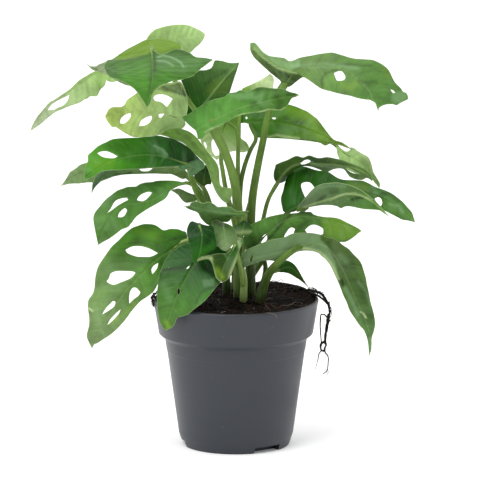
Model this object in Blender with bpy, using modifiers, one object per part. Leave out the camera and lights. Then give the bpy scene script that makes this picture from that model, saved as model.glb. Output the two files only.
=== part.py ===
"""Potted monstera: a young Swiss-cheese plant in a plain nursery pot.

Run with: blender --background --python part.py

Units are metres, +Z is up, +X is to the right and +Y is away from the front.
The origin is the middle of the pot's flat base. Leaves and petioles are drawn on
a front drawing, whose points are (u, v) in drawing units, v downwards, and each
drawn point is set back by a depth in millimetres, which is its Y.
"""

import math
from dataclasses import dataclass

import bmesh
import bpy
from mathutils import Matrix, Vector, noise
from mathutils.bvhtree import BVHTree
from mathutils.geometry import delaunay_2d_cdt, interpolate_bezier, intersect_point_line

MM = 0.001
GAP = 0.35 * MM
WELD = 0.02 * MM
SHARP_EDGE = math.radians(40.0)

# Pot: a wide band at the rim, a tapering body and a chamfered foot
RIM_RADIUS = 60.0 * MM
POT_HEIGHT = 107.5 * MM
BAND_HEIGHT = 26.0 * MM
BAND_FOOT = POT_HEIGHT - BAND_HEIGHT
BAND_FOOT_RADIUS = 55.6 * MM
LIP = 1.0 * MM
BODY_TOP = BAND_FOOT - 2.6 * MM
BODY_TOP_RADIUS = 51.6 * MM
BODY_FOOT_RADIUS = 41.6 * MM
RING_TOP = BODY_TOP - 8.5 * MM
RING_DEPTH = 0.4 * MM
BASE_RADIUS = 38.6 * MM
FOOT_CHAMFER_HEIGHT = 9.0 * MM
WALL = 1.4 * MM
FLOOR = 1.6 * MM
MOUTH_RADIUS = RIM_RADIUS - 1.3 * WALL
POT_STEPS = 48

# Drainage: notches in the edge of the base, each with a hole up into the soil
NOTCHES = 3
NOTCH_HEIGHT = 4.6 * MM
NOTCH_ANGLE = 33.0
FIRST_NOTCH = -54.0
NOTCH_INNER_RADIUS = 31.0 * MM
DRAIN_HOLE_RADIUS = 2.6 * MM

# Soil
SOIL_LEVEL = 105.6 * MM
SOIL_HEAP = 3.0 * MM
SOIL_ROUGHNESS = 1.3 * MM
SOIL_LUMP = 11.0 * MM
SOIL_RINGS = 5
STEM_CLEARANCE = GAP + 0.25 * MM

# Foliage
BLADE_THICKNESS = 0.8 * MM
OUTLINE_STEP = 7.5 * MM
OUTLINE_CORNER = math.radians(70.0)
GRID_STEP = 8.0 * MM
CUP_WIDTH = 30.0
TUBE_STEP = 14.0 * MM
TAPER = 0.7

# Front drawing: an eye straight in front of the pot, a little above it
EYE_DISTANCE = 4.4
EYE_ELEVATION = math.radians(10.9)
EYE_TARGET = Vector((2.9 * MM, 0.0, 150.4 * MM))
DRAWING_CENTRE = 240.0
DRAWING_UNIT = 0.724 * MM


def from_drawing(u, v, depth):
    """A point of the front drawing at a depth in mm, as a place in metres."""
    forward = Vector((0.0, math.cos(EYE_ELEVATION), -math.sin(EYE_ELEVATION)))
    up = Vector((0.0, math.sin(EYE_ELEVATION), math.cos(EYE_ELEVATION)))
    across = (u - DRAWING_CENTRE) * DRAWING_UNIT / EYE_DISTANCE
    rise = (DRAWING_CENTRE - v) * DRAWING_UNIT / EYE_DISTANCE
    eye = EYE_TARGET - EYE_DISTANCE * forward
    ray = forward + across * Vector((1.0, 0.0, 0.0)) + rise * up
    return eye + ray * ((depth * MM - eye.y) / ray.y)


@dataclass(frozen=True)
class Blade:
    """A leaf blade, drawn from the front and laid on a bent sheet.

    midrib: (u, v, depth) from the blade's base to its tip.
    outline: (u, v) once round the edge; holes: outlines of the holes.
    lean: depth gained per unit of width, left and right of the midrib.
    cup: further depth in mm at a width of CUP_WIDTH mm, growing with its square.
    """

    name: str
    midrib: tuple
    outline: tuple
    lean: tuple = (0.0, 0.0)
    cup: float = 0.0
    holes: tuple = ()
    colour: tuple = (0.10, 0.25, 0.06)


@dataclass(frozen=True)
class Tube:
    """A petiole, stem or root: (u, v, depth) points and its end radii in mm."""

    points: tuple
    radii: tuple
    blade: str = ""


BLADES = (
    Blade(
        "leaf_top_back",
        midrib=((152, 51, 44), (163, 45, 48), (180, 38, 54), (205, 34.5, 60)),
        outline=(
            (150, 51), (146, 46), (146, 40), (150, 34), (155, 30), (163, 27), (172, 25),
            (182, 24.5), (190, 26), (197, 29), (201, 31), (205, 34.5), (203, 40), (200, 44),
            (195, 48), (188, 54), (178, 59), (166, 60), (155, 57),
        ),
        lean=(-0.4, 0.5),
        colour=(0.34, 0.58, 0.15),
    ),
    Blade(
        "leaf_top_front",
        midrib=((151, 49, 6), (152.5, 60, -8), (152.5, 80, -34), (147, 108, -58)),
        outline=(
            (151, 49), (148, 45), (152, 46), (157, 52), (163, 53.2), (170, 50.8), (175, 48.8),
            (181.2, 49.2), (180, 45), (176, 42.5), (170, 40), (162, 38.5), (152, 39), (145, 40.5),
            (135, 45), (127, 49), (120, 54), (112, 60), (107, 61), (104, 68), (110, 77), (118, 80),
            (125, 83), (133, 88), (138, 93), (142, 99), (145, 104), (147, 108), (150, 103),
            (152, 97), (155, 91), (160, 87), (165, 85), (170, 82), (180, 80), (187, 78), (192, 76),
            (197, 72), (199, 70), (206, 65), (213, 60), (205, 58), (196, 57), (190, 53), (182, 50),
            (175, 49.5), (170, 51.5), (164, 54), (158, 53.5),
        ),
        lean=(0.12, 0.2),
        cup=-0.2,
        colour=(0.09, 0.27, 0.05),
    ),
    Blade(
        "leaf_drip_left",
        midrib=((146, 76, 40), (130, 68, 40), (108, 67, 38), (86, 63, 30)),
        outline=(
            (146, 76), (148, 70), (144, 62), (136, 57), (126, 56), (115, 58.5), (106, 61.5),
            (100, 64), (96, 66), (90, 66), (86, 63), (90, 68), (94, 70.5), (100, 72), (107, 75),
            (115, 80), (126, 85), (137, 86), (145, 82),
        ),
        lean=(-0.4, 0.4),
        colour=(0.16, 0.3, 0.14),
    ),
    Blade(
        "leaf_far_left",
        midrib=(
            (121, 74, 62), (105, 74, 62), (92, 76, 58), (70, 91.6, 46), (50, 103.4, 34),
            (30, 131, 16),
        ),
        outline=(
            (121, 74), (117, 69), (108, 67.5), (100, 69.5), (94, 71.5), (90, 73.5), (86, 76),
            (81, 79), (77, 82), (70, 89), (63, 94), (57, 98), (50, 102), (47, 105), (42, 111),
            (37, 117), (33, 124), (30, 131), (38, 126), (46, 119), (50, 116), (56, 112), (62, 109),
            (67, 107), (73, 105), (80, 102.5), (85, 99), (88, 98), (90, 96), (97, 96), (99, 92),
            (101, 89), (105, 85), (106, 80), (112, 82), (119, 80),
        ),
        holes=(
            (
                (47.5, 110.5), (51, 105), (56, 101.2), (62, 98.2), (69, 95), (68.5, 98.5),
                (66.5, 102), (63, 105.5), (58, 107.6), (54, 110),
            ),
        ),
        lean=(-0.55, 0.2),
        colour=(0.3, 0.49, 0.15),
    ),
    Blade(
        "leaf_under_top",
        midrib=(
            (184, 119.5, 18), (172, 116.5, 15), (162, 112.5, 11), (145, 111, 5), (125, 111.5, -3),
            (105.5, 117, -14),
        ),
        outline=(
            (184, 119.5), (187, 113), (188, 105), (187, 97), (184, 88), (180, 81.5), (172, 82.5),
            (162, 84), (152, 86), (144, 89), (137, 93), (132, 96.5), (127, 100), (125, 104),
            (121, 107), (113, 107), (109, 109), (107, 113), (105.5, 117), (107, 121), (110, 125),
            (112, 127), (116, 127), (121, 130), (127, 134), (133, 137), (141, 137), (150, 136),
            (157, 135.5), (161, 133), (168, 128), (176, 125), (182, 123),
        ),
        holes=(
            (
                (153, 98), (156, 95), (164, 94.5), (170, 97), (173, 99), (170, 103), (167, 107),
                (161, 102), (155, 101),
            ),
            (
                (120, 123), (121, 118.5), (125, 115), (130, 113), (131, 115.5), (128.5, 120),
                (124, 123.5),
            ),
            (
                (139.5, 126), (140.5, 121.5), (145, 118), (151, 115.5), (152, 118), (149.5, 122.5),
                (144.5, 125.5),
            ),
            ((158.5, 117), (158.5, 113.8), (164.5, 113.5), (163, 116), (160, 118)),
        ),
        lean=(-0.5, 0.35),
        colour=(0.34, 0.51, 0.13),
    ),
    Blade(
        "leaf_behind_right",
        midrib=((193, 117, 36), (207, 100, 42), (222, 81, 47), (239, 62.5, 50)),
        outline=(
            (193, 117), (187, 114.5), (183, 107), (184.5, 100), (186, 96), (184, 88), (181, 80.5),
            (189, 74.5), (199, 70.5), (205, 70), (211, 68), (213.3, 64), (215, 60.5), (222, 61),
            (230, 63), (239, 62.5), (237, 70), (234, 78), (231.5, 86), (229.5, 93), (225, 101),
            (217, 108), (208, 113.5), (200, 117),
        ),
        lean=(-0.25, 0.45),
        colour=(0.04, 0.11, 0.02),
    ),
    Blade(
        "leaf_centre_front",
        midrib=((209, 123, -20), (222, 116, -26), (240, 108, -35), (270, 100.5, -46), (299, 95, -52)),
        outline=(
            (196.5, 132), (190, 126), (185, 121), (182, 117), (190, 113), (196, 109), (203, 105),
            (209, 101), (215, 99), (225, 97), (229, 93.5), (236, 92), (240, 90), (246, 92),
            (253, 90), (258, 87.5), (264, 87), (270, 88), (276, 88.5), (283, 89), (290, 92),
            (295, 93), (299, 95), (295, 97), (292, 98), (289, 103), (286, 107), (282, 110),
            (277, 110.5), (270, 109.8), (262, 112), (252, 113), (240, 115.5), (230, 120),
            (220, 126), (212, 130), (207, 132.5), (203, 138), (198, 139),
        ),
        lean=(0.55, -0.25),
        cup=0.25,
        colour=(0.08, 0.28, 0.05),
    ),
    Blade(
        "leaf_top_right",
        midrib=(
            (286, 84, 16), (296, 71, 8), (312, 67, 4), (330, 67.2, 0), (345, 70, -6),
            (357, 79, -14), (368, 90, -22), (378, 111, -34),
        ),
        outline=(
            (283, 87.5), (281, 81), (275, 76), (268, 70), (260, 63), (254, 57), (250.5, 51),
            (250, 43), (254, 42.5), (258, 46), (262, 51), (266, 54), (270, 56), (277, 57),
            (284, 58), (289, 61), (295, 60), (300, 58), (310, 56), (318, 54), (326, 53), (333, 53),
            (341, 55), (352, 58), (362, 59), (371, 60), (377, 62), (383, 65), (388, 69), (391, 74),
            (393, 79), (396, 84), (400, 88), (403, 92), (406, 93), (408, 96), (408, 99),
            (405, 100.5), (400, 103), (397, 105), (393, 104), (386, 104.5), (382, 106), (379, 108),
            (378, 111), (376.5, 106), (375, 103), (371, 100), (365, 99), (358, 98), (350, 96),
            (342, 94), (333, 92), (322, 89), (317, 86), (310, 81), (303, 76.5), (296, 82),
            (290, 86.5),
        ),
        holes=(
            (
                (334, 73), (337, 71.7), (341, 71), (343.5, 73), (345.5, 77), (344, 80), (340, 81),
                (337, 80.3), (335, 76.5),
            ),
            ((390, 89.5), (393, 90.4), (395, 93), (392.5, 93.4)),
        ),
        lean=(0.75, -0.45),
        cup=0.1,
        colour=(0.16, 0.35, 0.08),
    ),
    Blade(
        "leaf_sliver_centre",
        midrib=((247, 97, 26), (257, 90, 28), (270, 75, 34)),
        outline=(
            (245, 98), (242, 93), (242, 89), (252, 84), (262, 79), (270, 74), (273.5, 78),
            (273, 88), (269, 96), (258, 100),
        ),
        lean=(0.3, 0.3),
        colour=(0.3, 0.46, 0.1),
    ),
    Blade(
        "leaf_mid_right",
        midrib=(
            (250, 122, 24), (270, 122, 22), (295, 126, 18), (318, 134, 12), (335, 142.3, 6),
            (352, 149.5, 0),
        ),
        outline=(
            (251, 124.5), (245, 123), (240, 123), (238, 118), (241, 112.5), (248, 109.5),
            (256, 107), (266, 104.5), (278, 103), (288, 104.5), (296, 106.5), (302, 109),
            (308, 112), (313, 116), (318, 120), (325, 129), (332, 138), (336, 140.7), (343, 143),
            (352, 149.5), (343, 146), (335, 144), (330, 143.5), (325, 145.5), (320, 143),
            (310, 141.3), (300, 140), (280, 138.5), (268, 138), (256, 137), (251, 131),
        ),
        holes=(
            ((271.5, 118), (273.5, 117.2), (276.5, 118.3), (274.5, 119.6)),
            ((245.4, 117.4), (246.4, 116.5), (247.8, 118), (246.6, 119.6)),
        ),
        lean=(0.6, -0.35),
        colour=(0.13, 0.26, 0.03),
    ),
    Blade(
        "leaf_far_right",
        midrib=(
            (337.5, 147, 30), (345, 154, 28), (356, 160, 25), (366, 168, 22), (374, 178, 18),
            (379, 188, 14),
        ),
        outline=(
            (337.5, 155), (336, 145.5), (340, 148), (346, 151.5), (350.5, 149.5), (350, 147),
            (354, 148), (358, 151), (363, 154), (368, 157), (370, 160), (372, 166), (373.5, 172),
            (377, 178), (380, 184), (379, 188), (376, 184), (372, 179.5), (364, 176.5),
            (356, 173.5), (347, 169), (341, 162), (338.5, 157),
        ),
        lean=(0.3, -0.4),
        colour=(0.26, 0.4, 0.09),
    ),
    Blade(
        "leaf_edge_on_right",
        midrib=(
            (278, 181, -2), (283, 173, -3), (296, 163.5, -4), (322, 163, -6), (350, 166, -10),
            (372, 176.5, -16),
        ),
        outline=(
            (277, 183.5), (274.5, 179), (274, 173), (275, 168), (276, 164.5), (281, 162),
            (287, 160), (293, 157.5), (297, 156.5), (303, 158), (309, 155.5), (315, 157),
            (320, 158), (327, 157.5), (335, 159), (342, 160), (350, 163), (357, 166), (362, 168),
            (367, 171), (371.5, 175), (372, 181), (367, 178), (362, 180), (356, 179), (350, 176),
            (347, 172.5), (343, 169), (334, 169), (328, 171.3), (323, 170.3), (318, 168.6),
            (311, 166.8), (303, 166.2), (296.2, 168.3), (290.8, 173.2), (287.5, 178.5),
            (283.5, 182),
        ),
        holes=(
            ((300.5, 163.2), (305, 160), (309, 159.4), (311, 161), (306, 164.2), (302, 164.7)),
            ((345.5, 167.7), (350, 167.8), (357, 171.6), (360.5, 174.2), (354, 173.2), (348.5, 170.8)),
        ),
        lean=(-2.2, 1.8),
        colour=(0.03, 0.08, 0.03),
    ),
    Blade(
        "leaf_big_right",
        midrib=(
            (302, 204, -16), (325, 193, -20), (350, 190, -26), (380, 198, -36), (400, 209, -44),
            (415, 222, -52),
        ),
        outline=(
            (300, 209), (293, 212), (284, 212), (282, 207), (281, 202), (281, 197), (283, 191),
            (286, 186), (289, 180), (291, 176), (295, 171.5), (300, 168.5), (305, 168.3),
            (311, 170), (319, 171.5), (326, 171.5), (330, 173), (336, 177), (341, 179), (348, 180),
            (356, 180.5), (363, 181.2), (370, 184), (376, 187), (386, 191), (392, 194), (398, 198),
            (403, 202), (408, 208), (412, 213), (415, 222), (408, 220.5), (402, 219.5), (397, 217),
            (391, 214), (384, 210.5), (374, 207), (360, 205), (342, 203.5), (322, 203.5),
            (308, 206),
        ),
        holes=(
            (
                (301, 185), (303, 182.5), (309, 182), (312.5, 185), (314.5, 189), (311, 194.5),
                (306, 199), (302.5, 191),
            ),
            ((374.5, 198.5), (378, 197), (381, 199), (382.2, 203), (381, 206), (377.5, 204.5)),
        ),
        lean=(0.75, -0.2),
        cup=0.15,
        colour=(0.05, 0.17, 0.02),
    ),
    Blade(
        "leaf_underside_right",
        midrib=(
            (298, 209.5, -24), (308, 205.5, -30), (328, 199, -39), (345, 194, -44),
            (362, 195.5, -48), (376, 204.5, -53), (389, 216, -58),
        ),
        outline=(
            (299, 210), (297, 209), (300, 204), (304, 199), (308, 194), (313, 189), (318, 186),
            (324, 183.5), (330, 182.7), (337, 182.5), (344, 184), (350, 185.5), (357, 188),
            (363, 191), (368, 195), (373, 199), (378, 204), (384, 210), (389, 216), (384, 213),
            (380, 210.5), (375, 209.7), (365, 209), (358, 208), (347, 206), (341, 208),
            (338, 206.5), (333, 205.5), (322, 205), (314, 206), (306, 208),
        ),
        holes=(
            ((347.2, 198), (348.5, 197), (349.6, 198.2), (348.2, 199.2)),
        ),
        lean=(-0.7, 0.45),
        colour=(0.14, 0.24, 0.09),
    ),
    Blade(
        "leaf_lower_right",
        midrib=(
            (256, 247, -17), (263, 238, -17), (274, 228.5, -18), (287, 219.5, -20),
            (305, 216.5, -24), (330, 220.5, -32), (361, 231, -46),
        ),
        outline=(
            (261, 248), (252, 249), (245, 246), (243, 240), (245, 234), (248, 228), (252, 224),
            (256, 222), (262, 219.5), (268, 217), (280, 214.2), (288, 213.5), (296, 213),
            (304, 212), (311, 212), (313, 214), (318, 216), (325, 217), (333, 217.5), (340, 219),
            (346, 222), (352, 225), (358, 228.5), (361, 231), (357, 234), (352, 238), (346, 241.5),
            (341, 242), (334, 242.5), (324, 242), (312, 242), (298, 243), (284, 246), (272, 249),
        ),
        holes=(
            ((260.8, 242.5), (261.8, 238), (264, 235), (266.3, 234), (267.2, 238.5), (265, 243)),
            (
                (284, 236.5), (286, 233), (289, 229), (292, 227.5), (295, 229), (294, 232),
                (292, 236), (287, 238),
            ),
            (
                (305, 230), (308, 227), (312, 225), (316, 225), (320, 226.8), (323, 229),
                (323, 234), (316, 235.5), (309, 234.5),
            ),
        ),
        lean=(0.3, -0.3),
        colour=(0.08, 0.21, 0.03),
    ),
    Blade(
        "leaf_arching_right",
        midrib=(
            (301, 247, -33), (310, 245, -34.5), (320, 244, -40), (332, 252, -52), (344, 272, -62),
            (354, 295, -68), (364, 318, -70), (371, 338, -68), (369, 357, -62),
        ),
        outline=(
            (297, 252), (290, 256), (284, 259.5), (277, 261), (269, 260.5), (261, 261.5),
            (255, 263.5), (249, 265), (243.5, 268), (242.3, 261), (243, 253), (249, 248.5),
            (255, 246), (262, 243), (270, 240), (278, 238.5), (285, 237), (290, 234.5),
            (296, 233), (304, 232.7), (312, 233), (320, 234.5), (326, 237), (332, 238.5),
            (338, 241), (343, 245), (349, 249), (354, 255), (359, 260), (362, 265), (364, 271),
            (366, 278), (367, 285), (369, 294), (371, 303), (373, 310), (374.5, 318), (375, 325),
            (374, 331), (372, 338), (371, 350), (369, 357), (368.5, 348), (367, 338), (364, 330),
            (360, 326), (355, 319), (350, 311), (347, 303), (343, 295), (339, 284), (335, 275),
            (331, 267), (327, 261), (323, 257), (318, 253), (313, 251), (306, 250.5),
        ),
        holes=(
            ((249.8, 261.5), (250.6, 257), (252.6, 254.4), (253, 257.5), (251.4, 262.4)),
        ),
        lean=(0.35, 0.25),
        colour=(0.09, 0.21, 0.04),
    ),
    Blade(
        "leaf_small_right",
        midrib=((280, 270, 14), (290, 267, 14), (300, 276, 12), (311, 290, 10)),
        outline=(
            (279, 272), (276, 269), (280, 265), (285, 260.5), (290, 261.5), (295, 265), (299, 271),
            (302, 277), (305, 282), (311, 290), (305, 284), (300, 280), (295, 277), (290, 274),
            (284, 272.5),
        ),
        lean=(0.5, -0.3),
        colour=(0.03, 0.06, 0.01),
    ),
    Blade(
        "leaf_big_left",
        midrib=(
            (188, 165, -18), (165, 157, -26), (140, 155, -34), (112, 161, -44), (94, 171, -50),
            (84, 180, -54),
        ),
        outline=(
            (191, 168), (183, 170), (177, 168), (170, 167.5), (160, 168), (150, 168.3), (140, 169),
            (130, 169.5), (120, 170), (106, 170.7), (100, 172), (95, 175.5), (90, 178), (84, 180),
            (84.5, 172), (86, 165), (88, 161), (88, 156), (92, 152), (96, 148), (100, 145),
            (106, 142), (112, 139.5), (121, 138.6), (130, 138), (140, 137.2), (150, 136.5),
            (158, 136), (165, 137), (172, 138), (180, 142), (186, 146), (191, 150), (195, 154),
            (200, 159), (204, 163.5), (204, 168), (200, 171), (196, 174), (191, 176), (187, 173),
        ),
        holes=(
            (
                (97, 153.3), (101, 151.3), (107, 151), (112, 153), (117.5, 156.2), (114.5, 158),
                (108, 157.8), (102, 156.6),
            ),
        ),
        lean=(-0.3, 0.75),
        cup=0.15,
        colour=(0.07, 0.25, 0.03),
    ),
    Blade(
        "leaf_left_tip",
        midrib=((118, 170, 22), (98, 171, 16), (78, 175, 8), (60, 186, 0)),
        outline=(
            (118, 170), (118, 164), (108, 159), (97, 160), (86, 163), (80, 165), (75, 169),
            (70, 172), (67, 177), (64, 182), (60, 186), (70, 183.8), (80, 183.3), (88, 182.5),
            (96, 182.5), (105, 180), (114, 176),
        ),
        lean=(-0.3, 0.5),
        colour=(0.1, 0.22, 0.05),
    ),
    Blade(
        "leaf_left_strip",
        midrib=((184, 175, 2), (160, 170, -2), (130, 171, -8), (105, 176, -14), (91.5, 194, -22)),
        outline=(
            (187, 178), (182, 179), (176, 176), (171, 174), (165, 174), (152, 173.7), (138, 174),
            (122, 175), (110, 177.5), (103, 180), (98, 184), (94, 189), (91.5, 194), (92, 188),
            (93, 182), (97, 175), (106, 168), (118, 163.5), (130, 163), (137, 166), (141, 170.6),
            (148, 171), (153, 168), (158, 162), (170, 161), (182, 167), (187, 173),
        ),
        lean=(-0.4, 0.5),
        colour=(0.06, 0.12, 0.02),
    ),
    Blade(
        "leaf_three_holes",
        midrib=(
            (187, 183, -14), (170, 188.5, -18), (154, 199.3, -24), (138, 203.5, -30),
            (125, 205.3, -34), (114, 212.5, -38), (104, 228, -44), (98, 245, -48),
        ),
        outline=(
            (187, 183), (181, 185), (175, 188), (170, 191), (168, 195), (165, 199), (160, 202),
            (153, 206), (146, 210), (140, 214), (136, 217), (132, 222), (128, 227), (122, 229.5),
            (117, 233), (110, 238), (103, 242), (98, 245), (96.5, 238), (95, 230), (93.5, 220),
            (94, 215), (96, 211), (100, 206), (105, 200), (110, 196), (117, 191), (122, 189),
            (128, 187), (136, 186.3), (141, 183.5), (152, 182), (156, 180.7), (163, 180.3),
            (172, 180.7), (180, 181.8),
        ),
        holes=(
            (
                (107, 213), (111, 208), (114, 202.5), (117, 200), (122, 198.5), (127, 198),
                (128, 200), (124, 202), (118, 205.5), (112, 209.8),
            ),
            (
                (118, 217), (119, 213.5), (122, 210), (125, 208), (127, 210), (126, 213),
                (124, 216), (120.5, 217.3),
            ),
            (
                (137, 200), (139, 196.5), (143, 193.5), (149, 192), (152, 193), (147, 198.6),
                (143, 201.2),
            ),
        ),
        lean=(-0.3, 0.5),
        colour=(0.06, 0.22, 0.04),
    ),
    Blade(
        "leaf_six_holes",
        midrib=(
            (181, 243, -20), (170, 251, -26), (155, 261, -32), (145, 271, -36), (135, 281, -40),
            (122, 296, -44), (113, 310, -46), (103, 326, -46), (92, 349, -44),
        ),
        outline=(
            (188, 240), (186, 232), (183, 231), (178, 229), (170, 229), (165, 230.5), (162, 230),
            (158, 227), (154, 225), (149, 224), (143, 224), (137, 226), (132, 228), (127, 232),
            (122, 237), (118, 241), (113, 245), (109, 250), (105, 256), (101, 262), (98, 267),
            (96, 273), (95, 279), (94, 290), (92, 295), (89, 299), (88, 303), (88, 310), (89, 318),
            (89, 325), (88, 330), (87, 335), (88, 340), (92, 349), (94, 345), (98, 343),
            (103, 339.5), (110, 335), (116, 330), (121, 325), (126, 319), (131, 312), (136, 306),
            (141, 301), (147, 297), (151, 294), (154, 291), (158, 284), (163, 276), (170, 266),
            (178, 257), (185, 249),
        ),
        holes=(
            (
                (125.5, 250), (129, 248), (133, 246.5), (140, 246.2), (146, 247.4), (151, 249.3),
                (158, 253), (151, 256.7), (143, 257), (136, 256.5), (128, 253.3),
            ),
            (
                (106.5, 281.5), (109, 278), (110.5, 274), (114, 271.8), (118, 271), (126, 271),
                (133, 271.3), (135.5, 272.7), (131.5, 277.6), (126, 280.5), (120.5, 282.6),
                (115, 284.6), (110.5, 284),
            ),
            (
                (129.5, 303.5), (129.2, 298), (130, 292.5), (131.5, 289.3), (134, 287.5),
                (137, 288.5), (140.3, 292.5), (138, 296), (134, 298.8),
            ),
            (
                (102, 314.6), (106, 308.3), (110, 304), (113, 301), (115.5, 302), (114.5, 306),
                (111, 309), (107, 311.7),
            ),
            (
                (107.5, 325), (110, 320), (113.5, 316), (116.5, 312.8), (120.5, 309.5),
                (118.5, 314), (115, 318), (111, 322),
            ),
            ((152.5, 274), (151.5, 270), (153.5, 266), (158, 263), (157.5, 266), (156.5, 269)),
        ),
        lean=(-0.05, 0.45),
        colour=(0.12, 0.33, 0.05),
    ),
    Blade(
        "leaf_over_rim",
        midrib=((206, 254, -34), (196, 262, -38), (184, 282, -44), (174, 303, -48), (165, 330, -47)),
        outline=(
            (206, 252), (199, 246), (190, 243), (182, 245), (176, 249), (171, 252), (166, 259),
            (163, 265), (160, 273), (158, 284), (157, 291), (157, 298), (157.5, 305), (158, 312),
            (160, 323), (165, 330), (168, 329.5), (171, 328), (174, 325), (177, 318), (182, 316.5),
            (188, 314.5), (192, 311), (197, 307), (203, 302), (209, 296), (214, 290), (218, 285),
            (222, 281), (230, 277), (233, 268), (230, 257), (222, 248), (212, 245), (207, 247),
        ),
        holes=(
            ((177.3, 292), (178, 288.5), (179.6, 288.3), (179.9, 292), (178.6, 295)),
            ((165, 268.3), (167, 267.2), (169, 267.8), (167, 269)),
            ((186, 269), (187.7, 266.6), (190, 265), (188.6, 268)),
        ),
        lean=(-0.55, 0.45),
        colour=(0.08, 0.25, 0.05),
    ),
    Blade(
        "leaf_small_dark",
        midrib=((199, 224, -42), (202, 236, -46), (200, 252, -49), (196, 265, -50)),
        outline=(
            (199, 223.5), (195, 222), (192, 221), (190, 222), (188, 226), (187, 230), (188, 238),
            (190, 247), (191, 254), (193, 261), (196, 265), (198, 259), (202, 256), (208, 253),
            (213, 250), (216.5, 245), (216, 239), (214.5, 232), (213, 226.5), (206, 225.5),
        ),
        lean=(0.3, 0.3),
        colour=(0.03, 0.09, 0.02),
    ),
    Blade(
        "leaf_pale_small",
        midrib=((223, 223.5, -34), (225, 236, -39), (226, 251, -42)),
        outline=(
            (222, 222), (216, 219.5), (211, 221.5), (212.5, 227), (213.5, 233), (215, 239),
            (218, 246), (222, 250), (226, 251), (230, 248), (233, 244), (237, 240.5), (243, 239),
            (237.5, 236.5), (235.5, 231), (231.5, 226),
        ),
        lean=(0.4, 0.4),
        colour=(0.2, 0.35, 0.16),
    ),
    Blade(
        "leaf_curled_centre",
        midrib=((236, 244, -44), (229, 256, -46), (223, 268, -50), (221, 282, -54)),
        outline=(
            (243, 241), (238, 240), (233, 246), (227, 253), (218, 253.5), (211, 255), (205, 256),
            (199, 258), (197, 261.5), (203, 260), (208, 259.5), (212, 263), (214, 270), (216, 278),
            (221, 282), (226, 280.5), (230, 277), (234, 267), (237, 258), (239, 252),
        ),
        lean=(-0.5, -0.4),
        colour=(0.06, 0.15, 0.03),
    ),
    Blade(
        "leaf_fold_left",
        midrib=((195.5, 197.5, 2), (184, 196, 1), (172, 190.8, -2)),
        outline=(
            (196, 194.5), (197, 200), (189, 202.5), (185, 202.5), (181, 199), (178, 195),
            (171.5, 190.5), (178, 188.3), (183, 190), (188, 192.5), (193, 194.3),
        ),
        lean=(0.4, 0.4),
        colour=(0.03, 0.09, 0.02),
    ),
    Blade(
        "leaf_shaded_left",
        midrib=((203.5, 186, -1), (204, 177, 2), (206, 167, 6)),
        outline=(
            (204, 186), (199, 183), (194.5, 178), (195, 173), (201, 169), (206, 164.5), (209, 170),
            (211.5, 178), (211, 184.5), (207, 184.5),
        ),
        lean=(0.3, 0.3),
        colour=(0.01, 0.035, 0.005),
    ),
    Blade(
        "leaf_young_arching",
        midrib=(
            (227.5, 201, -18), (223, 193, -14), (216, 181, -11), (212, 167, -8), (203, 150, -5),
            (186, 137, -3), (160, 135, -4),
        ),
        outline=(
            (226, 203), (221, 199), (216, 192.5), (212.5, 184), (210, 175), (207, 167),
            (203, 161.5), (198, 156.5), (190, 149), (182, 142.5), (172, 138), (160, 135),
            (165, 131), (170, 129), (178, 128), (184, 129.5), (190, 132), (196, 137), (201, 143),
            (206, 150), (212, 157), (217, 164), (219, 171), (219.5, 178), (220.5, 185),
            (224, 187.5), (231, 188.5), (232.5, 192), (231, 198), (228.5, 202),
        ),
        lean=(0.4, 0.4),
        colour=(0.15, 0.3, 0.07),
    ),
    Blade(
        "leaf_back_high",
        midrib=((286, 80, 44), (298, 74, 66), (314, 67.5, 92), (331, 66, 112)),
        outline=(
            (286, 80), (283.5, 75), (286, 68), (296, 62.5), (308, 59), (321, 59), (331, 66),
            (326, 73), (317, 78), (308, 77.5), (298, 78), (291, 81.5),
        ),
        holes=(
            ((292, 68), (298, 65), (300, 67), (295, 70)),
            ((305, 64), (312, 61.5), (314, 63.5), (308, 65.7)),
            ((304, 75.5), (311, 72.5), (314, 74), (308, 76)),
        ),
        lean=(0.3, 0.3),
        colour=(0.1, 0.26, 0.05),
    ),
    Blade(
        "leaf_back_centre",
        midrib=((227, 119, 58), (238, 112, 74), (256, 106, 92), (274, 104, 106)),
        outline=(
            (226, 120), (220, 115), (221, 107), (229, 102), (242, 98), (258, 97), (274, 104),
            (266, 108), (254, 110.5), (240, 113), (232, 117),
        ),
        holes=(
            ((231, 108), (237, 104), (239, 106.5), (234, 110)),
            ((246, 102.5), (253, 100), (255, 102), (248, 104.8)),
        ),
        lean=(-0.4, 0.6),
        colour=(0.1, 0.26, 0.05),
    ),
    Blade(
        "leaf_back_left",
        midrib=((176, 60, 70), (160, 62, 84), (140, 66, 96), (122, 76, 102)),
        outline=(
            (176, 60), (177, 68), (168, 76), (150, 82), (136, 82), (122, 76), (120, 66), (130, 57),
            (146, 52), (162, 51), (174, 54),
        ),
        holes=(
            ((164, 57), (158, 54), (155, 56), (160, 59)),
            ((149, 59), (142, 56.5), (139, 59), (145, 61.3)),
            ((161, 68), (155, 71), (152, 75), (159, 73.5)),
            ((143, 71), (137, 73), (134, 77), (141, 75.5)),
        ),
        lean=(-0.5, 0.4),
        colour=(0.1, 0.26, 0.05),
    ),
    Blade(
        "leaf_back_low_left",
        midrib=((196, 256, 22), (186, 254, 42), (174, 256, 66), (166, 262, 84)),
        outline=(
            (198, 262), (190, 266), (180, 267.5), (172, 266), (166, 262), (167, 252), (172, 243),
            (181, 238), (191, 240), (197, 248),
        ),
        holes=(
            ((190, 248), (184, 244), (181, 246), (186, 250)),
            ((188, 259), (182, 261), (180, 264), (186, 262.5)),
        ),
        lean=(0.6, 0.6),
        colour=(0.09, 0.24, 0.05),
    ),
    Blade(
        "leaf_back_low_right",
        midrib=((270, 224, 22), (282, 221, 42), (300, 219, 64), (324, 222, 84)),
        outline=(
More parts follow.
